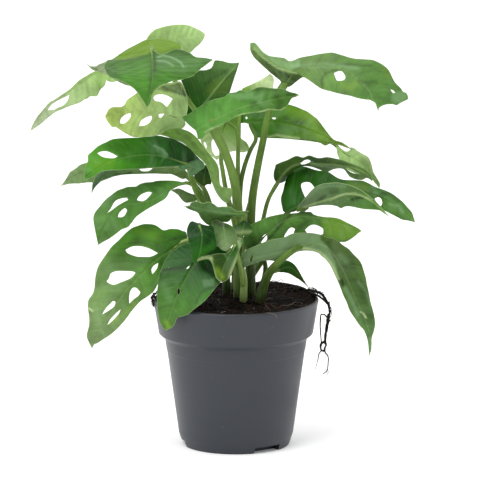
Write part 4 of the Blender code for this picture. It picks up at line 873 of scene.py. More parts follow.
BLADES: tuple[Blade, ...] = (
    Blade(
        "leaf_top_back", "152,51,44 163,45,48 180,38,54 205,34.5,60",
        """150,51 146,46 146,40 150,34 155,30 163,27 172,25 182,24.5 190,26 197,29 201,31 205,34.5 203,40
        200,44 195,48 188,54 178,59 166,60 155,57""", lean=(-0.4, 0.5),
    ),
    Blade(
        "leaf_top_front", "151,49,6 152.5,60,-8 152.5,80,-34 147,108,-58",
        """151,49 148,45 152,46 157,52 163,53.2 170,50.8 175,48.8 181.2,49.2 180,45 176,42.5 170,40 162,38.5
        152,39 145,40.5 135,45 127,49 120,54 112,60 107,61 104,68 110,77 118,80 125,83 133,88 138,93 142,99
        145,104 147,108 150,103 152,97 155,91 160,87 165,85 170,82 180,80 187,78 192,76 197,72 199,70 206,65
        213,60 205,58 196,57 190,53 182,50 175,49.5 170,51.5 164,54 158,53.5""", lean=(0.12, 0.2), cup=-0.2,
    ),
    Blade(
        "leaf_drip_left", "146,76,40 130,68,40 108,67,38 86,63,30",
        """146,76 148,70 144,62 136,57 126,56 115,58.5 106,61.5 100,64 96,66 90,66 86,63 90,68 94,70.5
        100,72 107,75 115,80 126,85 137,86 145,82""", lean=(-0.4, 0.4),
    ),
    Blade(
        "leaf_far_left", "121,74,62 105,74,62 92,76,58 70,91.6,46 50,103.4,34 30,131,16",
        """121,74 117,69 108,67.5 100,69.5 94,71.5 90,73.5 86,76 81,79 77,82 70,89 63,94 57,98 50,102 47,105
        42,111 37,117 33,124 30,131 38,126 46,119 50,116 56,112 62,109 67,107 73,105 80,102.5 85,99 88,98
        90,96 97,96 99,92 101,89 105,85 106,80 112,82 119,80 / 47.5,110.5 51,105 56,101.2 62,98.2 69,95
        68.5,98.5 66.5,102 63,105.5 58,107.6 54,110""", lean=(-0.55, 0.2),
    ),
    Blade(
        "leaf_under_top", "184,119.5,18 172,116.5,15 162,112.5,11 145,111,5 125,111.5,-3 105.5,117,-14",
        """184,119.5 187,113 188,105 187,97 184,88 180,81.5 172,82.5 162,84 152,86 144,89 137,93 132,96.5
        127,100 125,104 121,107 113,107 109,109 107,113 105.5,117 107,121 110,125 112,127 116,127 121,130
        127,134 133,137 141,137 150,136 157,135.5 162,134 169,132 177,130.6 183,128 185.5,124 / 153,98
        156,95 164,94.5 170,97 173,99 170,103 167,107 161,102 155,101 / 120,123 121,118.5 125,115 130,113
        131,115.5 128.5,120 124,123.5 / 139.5,126 140.5,121.5 145,118 151,115.5 152,118 149.5,122.5
        144.5,125.5 / 158.5,117 158.5,113.8 164.5,113.5 163,116 160,118""", lean=(-0.5, 0.35),
    ),
    Blade(
        "leaf_behind_right", "193,117,36 207,100,42 222,81,47 239,62.5,50",
        """193,117 187,114.5 183,107 184.5,100 186,96 184,88 181,80.5 189,74.5 199,70.5 205,70 211,68
        213.3,64 215,60.5 222,61 230,63 239,62.5 237,70 234,78 231.5,86 229.5,93 225,101 217,108 208,113.5
        200,117""", lean=(-0.25, 0.45),
    ),
    Blade(
        "leaf_centre_front", "209,123,-20 222,116,-26 240,108,-35 270,100.5,-46 299,95,-52",
        """196.5,132 190,126 185,121 182,117 190,113 196,109 203,105 209,101 215,99 225,97 229,93.5 236,92
        240,90 246,92 253,90 258,87.5 264,87 270,88 276,88.5 283,89 290,92 295,93 299,95 295,97 292,98
        289,103 286,107 282,110 277,110.5 270,109.8 262,112 252,113 240,115.5 230,120 220,126 212,130
        207,132.5 203,138 198,139""", lean=(0.55, -0.25), cup=0.25,
    ),
    Blade(
        "leaf_top_right",
        "286,84,16 296,71,8 312,67,4 330,67.2,0 345,70,-6 357,79,-14 368,90,-22 378,111,-34",
        """283,87.5 281,81 275,76 268,70 260,63 254,57 250.5,51 250,43 254,42.5 258,46 262,51 266,54 270,56
        277,57 284,58 289,61 295,60 300,58 310,56 318,54 326,53 333,53 341,55 352,58 362,59 371,60 377,62
        383,65 388,69 391,74 393,79 396,84 400,88 403,92 406,93 408,96 408,99 405,100.5 400,103 397,105
        393,104 386,104.5 382,106 379,108 378,111 376.5,106 375,103 371,100 365,99 358,98 350,96 342,94
        333,92 322,89 317,86 310,81 303,76.5 296,82 290,86.5 / 334,73 337,71.7 341,71 343.5,73 345.5,77
        344,80 340,81 337,80.3 335,76.5 / 390,89.5 393,90.4 395,93
        392.5,93.4""", lean=(0.75, -0.45), cup=0.1,
    ),
    Blade(
        "leaf_sliver_centre", "247,97,26 257,90,28 270,75,34",
        """245,98 242,93 242,89 252,84 262,79 270,74 273.5,78 273,88 269,96 258,100""", lean=(0.3, 0.3),
    ),
    Blade(
        "leaf_mid_right", "250,122,24 270,122,22 295,126,18 318,134,12 335,142.3,6 352,149.5,0",
        """251,124.5 245,123 240,123 238,118 241,112.5 248,109.5 256,107 266,104.5 278,103 288,104.5
        296,106.5 302,109 308,112 313,116 318,120 325,129 332,138 336,140.7 343,143 352,149.5 343,146
        335,144 330,143.5 325,145.5 320,143 310,141.3 300,140 280,138.5 268,138 256,137 251,131 / 271.5,118
        273.5,117.2 276.5,118.3 274.5,119.6 / 245.4,117.4 246.4,116.5 247.8,118
        246.6,119.6""", lean=(0.6, -0.35),
    ),
    Blade(
        "leaf_far_right", "337.5,147,30 345,154,28 356,160,25 366,168,22 374,178,18 379,188,14",
        """337.5,155 336,145.5 340,148 346,151.5 350.5,149.5 350,147 354,148 358,151 363,154 368,157 370,160
        372,166 373.5,172 377,178 380,184 379,188 376,184 372,179.5 364,176.5 356,173.5 347,169 341,162
        338.5,157""", lean=(0.3, -0.4),
    ),
    Blade(
        "leaf_edge_on_right", "278,181,-2 283,173,-3 296,163.5,-4 322,163,-6 350,166,-10 372,176.5,-16",
        """277,183.5 274.5,179 274,173 275,168 276,164.5 281,162 287,160 293,157.5 297,156.5 303,158
        309,155.5 315,157 320,158 327,157.5 335,159 342,160 350,163 357,166 362,168 367,171 371.5,175
        372,181 367,178 362,180 356,179 350,176 347,172.5 343,169 334,169 328,171.3 323,170.3 318,168.6
        311,166.8 303,166.2 296.2,168.3 290.8,173.2 287.5,178.5 283.5,182 / 300.5,163.2 305,160 309,159.4
        311,161 306,164.2 302,164.7 / 345.5,167.7 350,167.8 357,171.6 360.5,174.2 354,173.2
        348.5,170.8""", lean=(-2.2, 1.8),
    ),
    Blade(
        "leaf_big_right", "302,204,-16 325,193,-20 350,190,-26 380,198,-36 400,209,-44 415,222,-52",
        """300,209 293,212 284,212 282,207 281,202 281,197 283,191 284.5,185 286.7,179 289,174.5 293.5,169.8
        299,166.6 305,166.6 311,168.6 319,171 326,171.5 330,173 336,177 341,179 348,180 356,180.5 363,181.2
        370,184 376,187 386,191 392,194 398,198 403,202 408,208 412,213 415,222 408,220.5 402,219.5 397,217
        391,214 384,210.5 374,207 360,205 342,203.5 322,203.5 308,206 / 301,185 303,182.5 309,182 312.5,185
        314.5,189 311,194.5 306,199 302.5,191 / 374.5,198.5 378,197 381,199 382.2,203 381,206
        377.5,204.5""", lean=(0.75, -0.2), cup=0.15,
    ),
    Blade(
        "leaf_underside_right",
        "298,209.5,-24 308,205.5,-30 328,199,-39 345,194,-44 362,195.5,-48 376,204.5,-53 389,216,-58",
        """299,210 297,209 300,204 304,199 308,194 313,189 318,186 324,183.5 330,182.7 337,182.5 344,184
        350,185.5 357,188 363,191 368,195 373,199 378,204 384,210 389,216 384,213 380,210.5 375,209.7
        365,209 358,208 347,206 341,208 338,206.5 333,205.5 322,205 314,206 306,208 / 347.2,198 348.5,197
        349.6,198.2 348.2,199.2""", lean=(-0.7, 0.45),
    ),
    Blade(
        "leaf_lower_right",
        "256,247,-17 263,238,-17 274,228.5,-18 287,219.5,-20 305,216.5,-24 330,220.5,-32 361,231,-46",
        """261,248 252,249 245,246 243,240 245,234 248,228 252,224 256,222 262,219.5 268,217 280,214.2
        288,213.5 296,213 304,212 311,212 313,214 318,216 325,217 333,217.5 340,219 346,222 352,225
        358,228.5 361,231 357,234 352,238 346,241.5 341,242 334,242.5 324,242 312,242 298,243 284,246
        272,249 / 260.8,242.5 261.8,238 264,235 266.3,234 267.2,238.5 265,243 / 284,236.5 286,233 289,229
        292,227.5 295,229 294,232 292,236 287,238 / 305,230 308,227 312,225 316,225 320,226.8 323,229
        323,234 316,235.5 309,234.5""", lean=(0.3, -0.3),
    ),
    Blade(
        "leaf_arching_right",
        """301,247,-33 310,245,-34.5 320,244,-40 332,252,-52 344,272,-62 354,295,-68 364,318,-70 371,338,-68
        369,357,-62""",
        """297,252 290,256 284,259.5 277,261 269,260.5 261,261.5 255,263.5 249,265 243.5,268 242.3,261
        243,253 249,248.5 255,246 262,243 270,240 278,238.5 285,237 290,234.5 296,233 304,232.7 312,233
        320,234.5 326,237 332,238.5 338,241 343,245 349,249 354,255 359,260 362,265 364,271 366,278 367,285
        369,294 371,303 373,310 374.5,318 375,325 374,331 372,338 371,350 369,357 368.5,348 367,338 364,330
        360,326 355,319 350,311 347,303 343,295 339,284 335,275 331,267 327,261 323,257 318,253 313,251
        306,250.5 / 249.8,261.5 250.6,257 252.6,254.4 253,257.5 251.4,262.4""", lean=(0.35, 0.25),
    ),
    Blade(
        "leaf_small_right", "280,270,14 290,267,14 300,276,12 311,290,10",
        """279,272 276,269 280,265 285,260.5 290,261.5 295,265 299,271 302,277 305,282 311,290 305,284
        300,280 295,277 290,274 284,272.5""", lean=(0.5, -0.3),
    ),
    Blade(
        "leaf_big_left", "188,165,-18 165,157,-26 140,155,-34 112,161,-44 94,171,-50 84,180,-54",
        """191,168 183,170 177,168 170,167.5 160,168 150,168.3 140,169 130,169.5 120,170 106,170.7 100,172
        95,175.5 90,178 84,180 84.5,172 86,165 88,161 88,156 92,152 96,148 100,145 106,142 112,139.5
        121,138.6 130,138 140,137.2 150,136.5 158,136 165,137 172,138 180,142 186,146 191,150 195,154
        200,159 204,163.5 204,168 200,171 196,174 191,176 187,173 / 97,153.3 101,151.3 107,151 112,153
        117.5,156.2 114.5,158 108,157.8 102,156.6""", lean=(-0.3, 0.75), cup=0.15,
    ),
    Blade(
        "leaf_left_tip", "118,170,22 98,171,16 78,175,8 60,186,0",
        """118,170 118,164 108,159 97,160 86,163 80,165 75,169 70,172 67,177 64,182 60,186 70,183.8 80,183.3
        88,182.5 96,182.5 105,180 114,176""", lean=(-0.3, 0.5),
    ),
    Blade(
        "leaf_left_strip", "184,175,2 160,170,-2 130,171,-8 105,176,-14 91.5,194,-22",
        """187,178 182,179 176,176 171,174 165,174 152,173.7 138,174 122,175 110,177.5 103,180 98,184 94,189
        91.5,194 92,188 93,182 97,175 106,168 118,163.5 130,163 137,166 141,170.6 148,171 153,168 158,162
        170,161 182,167 187,173""", lean=(-0.4, 0.5),
    ),
    Blade(
        "leaf_three_holes",
        """187,183,-14 170,188.5,-18 154,199.3,-24 138,203.5,-30 125,205.3,-34 114,212.5,-38 104,228,-44
        98,245,-48""",
        """187,183 181,185 175,188 170,191 168,195 165,199 160,202 153,206 146,210 140,214 136,217 132,222
        128,227 122,229.5 117,233 110,238 103,242 98,245 96.5,238 95,230 93.5,220 94,215 96,211 100,206
        105,200 110,196 117,191 122,189 128,187 136,186.3 141,183.5 152,182 156,180.7 163,180.3 172,180.7
        180,181.8 / 107,213 111,208 114,202.5 117,200 122,198.5 127,198 128,200 124,202 118,205.5 112,209.8
        / 118,217 119,213.5 122,210 125,208 127,210 126,213 124,216 120.5,217.3 / 137,200 139,196.5
        143,193.5 149,192 152,193 147,198.6 143,201.2""", lean=(-0.3, 0.5),
    ),
    Blade(
        "leaf_six_holes",
        """181,243,-20 170,251,-26 155,261,-32 145,271,-36 135,281,-40 122,296,-44 113,310,-46 103,326,-46
        92,349,-44""",
        """188,240 186,232 183,231 178,229 170,229 165,230.5 162,230 158,227 154,225 149,224 143,224 137,226
        132,228 127,232 122,237 118,241 113,245 109,250 105,256 101,262 98,267 96,273 95,279 94,290 92,295
        89,299 88,303 88,310 89,318 89,325 88,330 87,335 88,340 92,349 94,345 98,343 103,339.5 110,335
        116,330 121,325 126,319 131,312 136,306 141,301 147,297 151,294 154,291 158,284 163,276 170,266
        178,257 185,249 / 125.5,250 129,248 133,246.5 140,246.2 146,247.4 151,249.3 158,253 151,256.7
        143,257 136,256.5 128,253.3 / 106.5,281.5 109,278 110.5,274 114,271.8 118,271 126,271 133,271.3
        135.5,272.7 131.5,277.6 126,280.5 120.5,282.6 115,284.6 110.5,284 / 129.5,303.5 129.2,298 130,292.5
        131.5,289.3 134,287.5 137,288.5 140.3,292.5 138,296 134,298.8 / 102,314.6 106,308.3 110,304 113,301
        115.5,302 114.5,306 111,309 107,311.7 / 107.5,325 110,320 113.5,316 116.5,312.8 120.5,309.5
        118.5,314 115,318 111,322 / 152.5,274 151.5,270 153.5,266 158,263 157.5,266
        156.5,269""", lean=(-0.05, 0.45),
    ),
    Blade(
        "leaf_over_rim", "206,254,-34 196,262,-38 184,282,-44 174,303,-48 165,330,-47",
        """206,252 199,246 190,243 182,245 176,249 171,252 166,259 163,265 160,273 158,284 157,291 157,298
        157.5,305 158,312 160,323 165,330 168,329.5 171,328 174,325 177,318 182,316.5 188,314.5 192,311
        197,307 203,302 209,296 214,290 218,285 222,281 230,277 233,268 230,257 222,248 212,245 207,247 /
        177.3,292 178,288.5 179.6,288.3 179.9,292 178.6,295 / 165,268.3 167,267.2 169,267.8 167,269 /
        186,269 187.7,266.6 190,265 188.6,268""", lean=(-0.55, 0.45),
    ),
    Blade(
        "leaf_small_dark", "199,224,-42 202,236,-46 200,252,-49 196,265,-50",
        """199,223.5 195,222 192,221 190,222 188,226 187,230 188,238 190,247 191,254 193,261 196,265 198,259
        202,256 208,253 213,250 216.5,245 216,239 214.5,232 213,226.5 206,225.5""", lean=(0.3, 0.3),
    ),
    Blade(
        "leaf_pale_small", "223,223.5,-34 225,236,-39 226,251,-42",
        """222,222 216,219.5 211,221.5 212.5,227 213.5,233 215,239 218,246 222,250 226,251 230,248 233,244
        237,240.5 243,239 237.5,236.5 235.5,231 231.5,226""", lean=(0.4, 0.4),
    ),
    Blade(
        "leaf_curled_centre", "236,244,-44 229,256,-46 223,268,-50 221,282,-54",
        """243,241 238,240 233,246 227,253 218,253.5 211,255 205,256 199,258 197,261.5 203,260 208,259.5
        212,263 214,270 216,278 221,282 226,280.5 230,277 234,267 237,258 239,252""", lean=(-0.5, -0.4),
    ),
    Blade(
        "leaf_fold_left", "195.5,197.5,2 184,196,1 172,190.8,-2",
        """196,194.5 197,200 189,202.5 185,202.5 181,199 178,195 171.5,190.5 178,188.3 183,190 188,192.5
        193,194.3""", lean=(0.4, 0.4),
    ),
    Blade(
        "leaf_shaded_left", "203.5,186,-1 204,177,2 206,167,6",
        """204,186 199,183 194.5,178 195,173 201,169 206,164.5 209,170 211.5,178 211,184.5
        207,184.5""", lean=(0.3, 0.3),
    ),
    Blade(
        "leaf_young_arching",
        "227.5,201,-18 223,193,-14 216,181,-11 212,167,-8 203,150,-5 186,137,-3 160,135,-4",
        """226,203 221,199 216,192.5 212.5,184 210,175 207,167 203,161.5 198,156.5 190,149 182,142.5 172,138
        160,135 165,131 170,129 178,128 184,129.5 190,132 196,137 201,143 206,150 212,157 217,164 219,171
        219.5,178 220.5,185 224,187.5 231,188.5 232.5,192 231,198 228.5,202""", lean=(0.4, 0.4),
    ),
    Blade(
        "leaf_back_high", "286,80,44 298,74,66 314,67.5,92 331,66,112",
        """286,80 283.5,75 286,68 296,62.5 308,59 321,59 331,66 326,73 317,78 308,77.5 298,78 291,81.5 /
        292,68 298,65 300,67 295,70 / 305,64 312,61.5 314,63.5 308,65.7 / 304,75.5 311,72.5 314,74
        308,76""", lean=(0.3, 0.3),
    ),
    Blade(
        "leaf_back_centre", "227,119,58 238,112,74 256,106,92 274,104,106",
        """226,120 220,115 221,107 229,102 242,98 258,97 274,104 266,108 254,110.5 240,113 232,117 / 231,108
        237,104 239,106.5 234,110 / 246,102.5 253,100 255,102 248,104.8""", lean=(-0.4, 0.6),
    ),
    Blade(
        "leaf_back_left", "176,60,70 160,62,84 140,66,96 122,76,102",
        """176,60 177,68 168,76 150,82 136,82 122,76 120,66 130,57 146,52 162,51 174,54 / 164,57 158,54
        155,56 160,59 / 149,59 142,56.5 139,59 145,61.3 / 161,68 155,71 152,75 159,73.5 / 143,71 137,73
        134,77 141,75.5""", lean=(-0.5, 0.4),
    ),
    Blade(
        "leaf_back_low_left", "196,256,22 186,254,42 174,256,66 166,262,84",
        """198,262 190,266 180,267.5 172,266 166,262 167,252 172,243 181,238 191,240 197,248 / 190,248
        184,244 181,246 186,250 / 188,259 182,261 180,264 186,262.5""", lean=(0.6, 0.6),
    ),
    Blade(
        "leaf_back_low_right", "270,224,22 282,221,42 300,219,64 324,222,84",
        """270,224 266,221 272,218 284,216 300,215.5 313,217.5 324,222 312,223.5 300,224 286,225.5
        276,229""", lean=(1.2, -1.0),
    ),
    Blade(
        "leaf_behind_stems", "226,122,74 222,134,73 218,146,71 217,160,68",
        """226,119 214,121 206,127 200,134 201,142 205,150 210,155 217,160 219.5,157.5 222,153.5 230,152
        236,151 243,152.5 250,150 247,143 241,138 240,131 240,122 238,116 231,116.5 / 203.4,143 204.6,141.5
        206.6,146 206,149 / 211.5,141 214,139 217,144 219,150 218.8,155 215.5,156
        212,150""", lean=(-0.3, 0.3),
    ),
    Blade(
        "leaf_edge_centre", "246,214,-24 230,213,-28 212,211,-32 197,208,-35 184,206,-37",
        """249,211 243,211 236,210.5 231,207.5 224,207 218,207 214,204 209,201.5 203,203 196,201.5
        190.5,203.5 190,206 184,206 188,208.5 193,210.5 198,213 200,217 204,222 208,224.5 213,226 220,222
        228,222 231,219 233,216.5 238,216.5 245,215.5""", lean=(0.8, -0.8),
    ),
    Blade(
        "leaf_small_dome", "240,236,-30 243,228,-28 245,220.5,-23",
        """237,238 234,229 239,223.3 244.5,220.5 249,224 252.5,230 249,234.5 243,236""", lean=(0.5, 0.5),
    ),
)

SHOOTS: dict[str, tuple[Tube, ...]] = {
    "shoot_centre": (
        Tube("""239,316,-2 239,290,-2 238.5,250,-3 238,210,-5 236,190,-6 232,172,-8 225.5,153,-11
            216.5,132,-16 211,124,-18.5""", (4.5, 2.7), "leaf_centre_front"),
        Tube("""238,215,-4 235.5,190,4 230,168,12 221,148,18 209,127,23 195,110,27 181,90,30 170,74,24
            158,58,13 151,50,6.5""", (2.6, 1.4), "leaf_top_front"),
        Tube("""239,215,-4 241,182,2 245.5,163,8 251,149,14 256,138,20
            252,124.5,23""", (2.0, 1.3), "leaf_mid_right"),
        Tube("""237,225,-4 230,205,1 225.5,188,3 222.5,170,3 221,160,2 222,150,2 219,140,4 213,130,7
            204,123,10 186,120,17.5""", (2.0, 1.2), "leaf_under_top"),
        Tube("238,240,-4 234,222,-11 230.5,208,-15 227.5,202,-17.5", (2.2, 1.4), "leaf_young_arching"),
        Tube("""238.5,210,-4 237.5,185,0 238,160,8 239,134,18 240,116,24
            247,99,27""", (1.8, 1.2), "leaf_sliver_centre"),
        Tube("239,250,-3 237,238,-12 240,226,-19 245,215.5,-23", (1.8, 1.1), "leaf_edge_centre"),
        Tube("239,258,-3 241,249,-14 241,242.5,-24 240,237,-29", (1.8, 1.1), "leaf_small_dome"),
    ),
    "shoot_right": (
        Tube("""250.6,316,6 250.6,290,6 250.2,250,6 251,220,6 252.2,200,6 255.2,180,6 259,160,6 263.2,140,7
            266.8,120,9 271,106,11 279,94,12 285.5,86.5,14.5""", (4.3, 2.0), "leaf_top_right"),
        Tube("""250.5,254,6 259,234,8 263.5,218,5 266,207,3 269,198,1 273,190.5,-1
            278.5,183.5,-2.5""", (1.8, 1.3), "leaf_edge_on_right"),
        Tube("""250,272,6 262,254,12 270,243,14 273,232,13 280,220,9 289,211.5,2
            296,206,-8""", (2.0, 1.3), "leaf_big_right"),
        Tube("""250,280,6 262,262,15 272,246,14 278,232,8 286,222,0 296,216,-8 302,212.3,-13 304.5,209.8,-19
            306.5,207.5,-27""", (1.8, 1.1), "leaf_underside_right"),
        Tube("""251,244,6 254,205,13 258,170,20 261.5,148,25 265,134,29 276,126,34 294,127,36 318,136,36
            331,142.2,33 337,147,30.5""", (1.6, 1.1), "leaf_far_right"),
    ),
    "shoot_left": (
        Tube("""227,316,10 227,292,10 224,260,8 216,230,4 206,206,-2 197,194,-8 191,178,-13
            189,167,-16""", (3.8, 1.3), "leaf_big_left"),
        Tube("216,232,4 209,210,2 202,196,-4 194,186,-10 188.5,183,-12.5", (1.8, 1.1), "leaf_three_holes"),
        Tube("220,244,7 211,214,8 201,192,8 186,176,4", (1.8, 1.1), "leaf_left_strip"),
        Tube("222,250,8 213,214,12 200,184,18 160,164,26 119,170,23", (2.0, 1.1), "leaf_left_tip"),
        Tube("214,226,4 207,212,3 202,204,2 197,198,2", (1.8, 1.1), "leaf_fold_left"),
        Tube("214,226,4 208,206,1 204,194,0 203.5,187,-1", (1.6, 1.1), "leaf_shaded_left"),
    ),
    "shoot_front": (
        Tube("""243.5,320,-16 243.5,298,-16 243.5,276,-16.5 237,259,-18 226,249,-20 212,242,-22 196,239,-21
            182,243.5,-19.5""", (3.3, 1.3), "leaf_six_holes"),
        Tube("243,280,-16.5 236,263,-22 224,253,-27 207,254,-32.5", (2.0, 1.2), "leaf_over_rim"),
        Tube("""240,264,-17.5 226,246,-20 213,237,-27 205,230,-35
            200,226,-40.5""", (1.8, 1.1), "leaf_small_dark"),
        Tube("241.5,268,-17.5 235,246,-24 229,230,-30 224.5,226.5,-34", (1.8, 1.1), "leaf_pale_small"),
        Tube("243,286,-16.5 240.5,268,-26 237.5,254,-36 235.5,245.5,-42", (1.8, 1.1), "leaf_curled_centre"),
    ),
    "shoot_front_right": (
        Tube("""260,320,-20 260,302,-20 263.5,286,-22 270,272,-27 281,260,-34 293,250.5,-37
            300,247.5,-35""", (4.8, 1.7), "leaf_arching_right"),
        Tube("""260.5,296,-20 264,279,-20 265.5,267,-17.5 262.5,256,-15.5
            256,248,-16""", (2.2, 1.3), "leaf_lower_right"),
        Tube("261,290,-20 266,279,-4 273,272,8 279,271,13", (1.8, 1.1), "leaf_small_right"),
    ),
    "shoot_back": (
        Tube("""235,308,26 235,290,26 236,250,26 236.5,212,28 235,190,31 230,170,35 222,150,42 211,129,48
            198,104,56 188,80,63 177,61,69""", (3.2, 1.2), "leaf_back_left"),
        Tube("""236,226,28 234,192,29 229,168,31 220.5,146,34 209,127,36
            194.5,118,36""", (2.2, 1.3), "leaf_behind_right"),
        Tube("""233,184,32 227,162,40 216,136,46 198,100,58 178,70,56
            153,52,46""", (1.9, 1.2), "leaf_top_back"),
        Tube("""230,170,35 220,144,52 206,118,58 182,92,58 166,84,50
            147,77,42""", (1.8, 1.1), "leaf_drip_left"),
        Tube("""232,178,33 223,150,50 210,124,64 196,106,70 176,90,72 150,78,70
            122,74,64""", (1.9, 1.1), "leaf_far_left"),
        Tube("236.5,212,28 238,180,40 238,152,50 236,130,56 227,119.5,58", (1.8, 1.1), "leaf_back_centre"),
        Tube("""236.5,220,28 237.5,190,50 237.5,162,70 237,142,80 233.5,128,82
            226.5,122,76""", (1.6, 1.1), "leaf_behind_stems"),
        Tube("""236,250,26 246,216,27 253,190,29 257,165,32 262,138,36 267,112,41 275,95,43
            285,81.5,44.5""", (1.8, 1.1), "leaf_back_high"),
        Tube("235.5,276,26 218,258,22 206,250,20 197,256,21", (1.8, 1.1), "leaf_back_low_left"),
        Tube("235.5,268,26 246,244,26 258,228,22 269,224,22", (1.8, 1.1), "leaf_back_low_right"),
    ),
}

ROOTS: dict[str, tuple[Tube, ...]] = {
    "root_right": (
        Tube("""300,290.6,24 308,290.6,20 314.5,291.4,14 320.5,293.3,6 326,300,2 329.5,311,-2 328,322,-4
            325.6,334,-4 324.8,341,-4 325.8,346,-4 324.6,351,-4 328.5,357,-4 328,365,-4 326.5,371,-5
            322.5,374,-5""", (1.4, 0.35)),
        Tube("309,291.9,17 313.5,293.9,7 318.5,295.7,1 322.5,298.8,0 326.8,303.5,1", (0.9, 0.7)),
        Tube("""328.6,319,-3.5 324,314.5,-3 321,314,-3 320.4,319,-4 320.4,330,-5 321,341,-4.5
            321,344,-4.5""", (0.6, 0.5)),
        Tube("325,341.5,-4 321.5,343,-4.5 320.3,347,-5 321.5,350.5,-4.5 324.8,351,-4", (0.9, 0.8)),
        Tube("321.5,350,-4.5 318.5,354,-4 317.5,360,-5 315.5,370,-4", (0.5, 0.18)),
    ),
    "root_left": (
        Tube("164,294.2,14 157.2,292.8,11 154.1,295,2 152.3,299.4,-6 153.6,306,-10", (0.7, 0.45)),
    ),
}
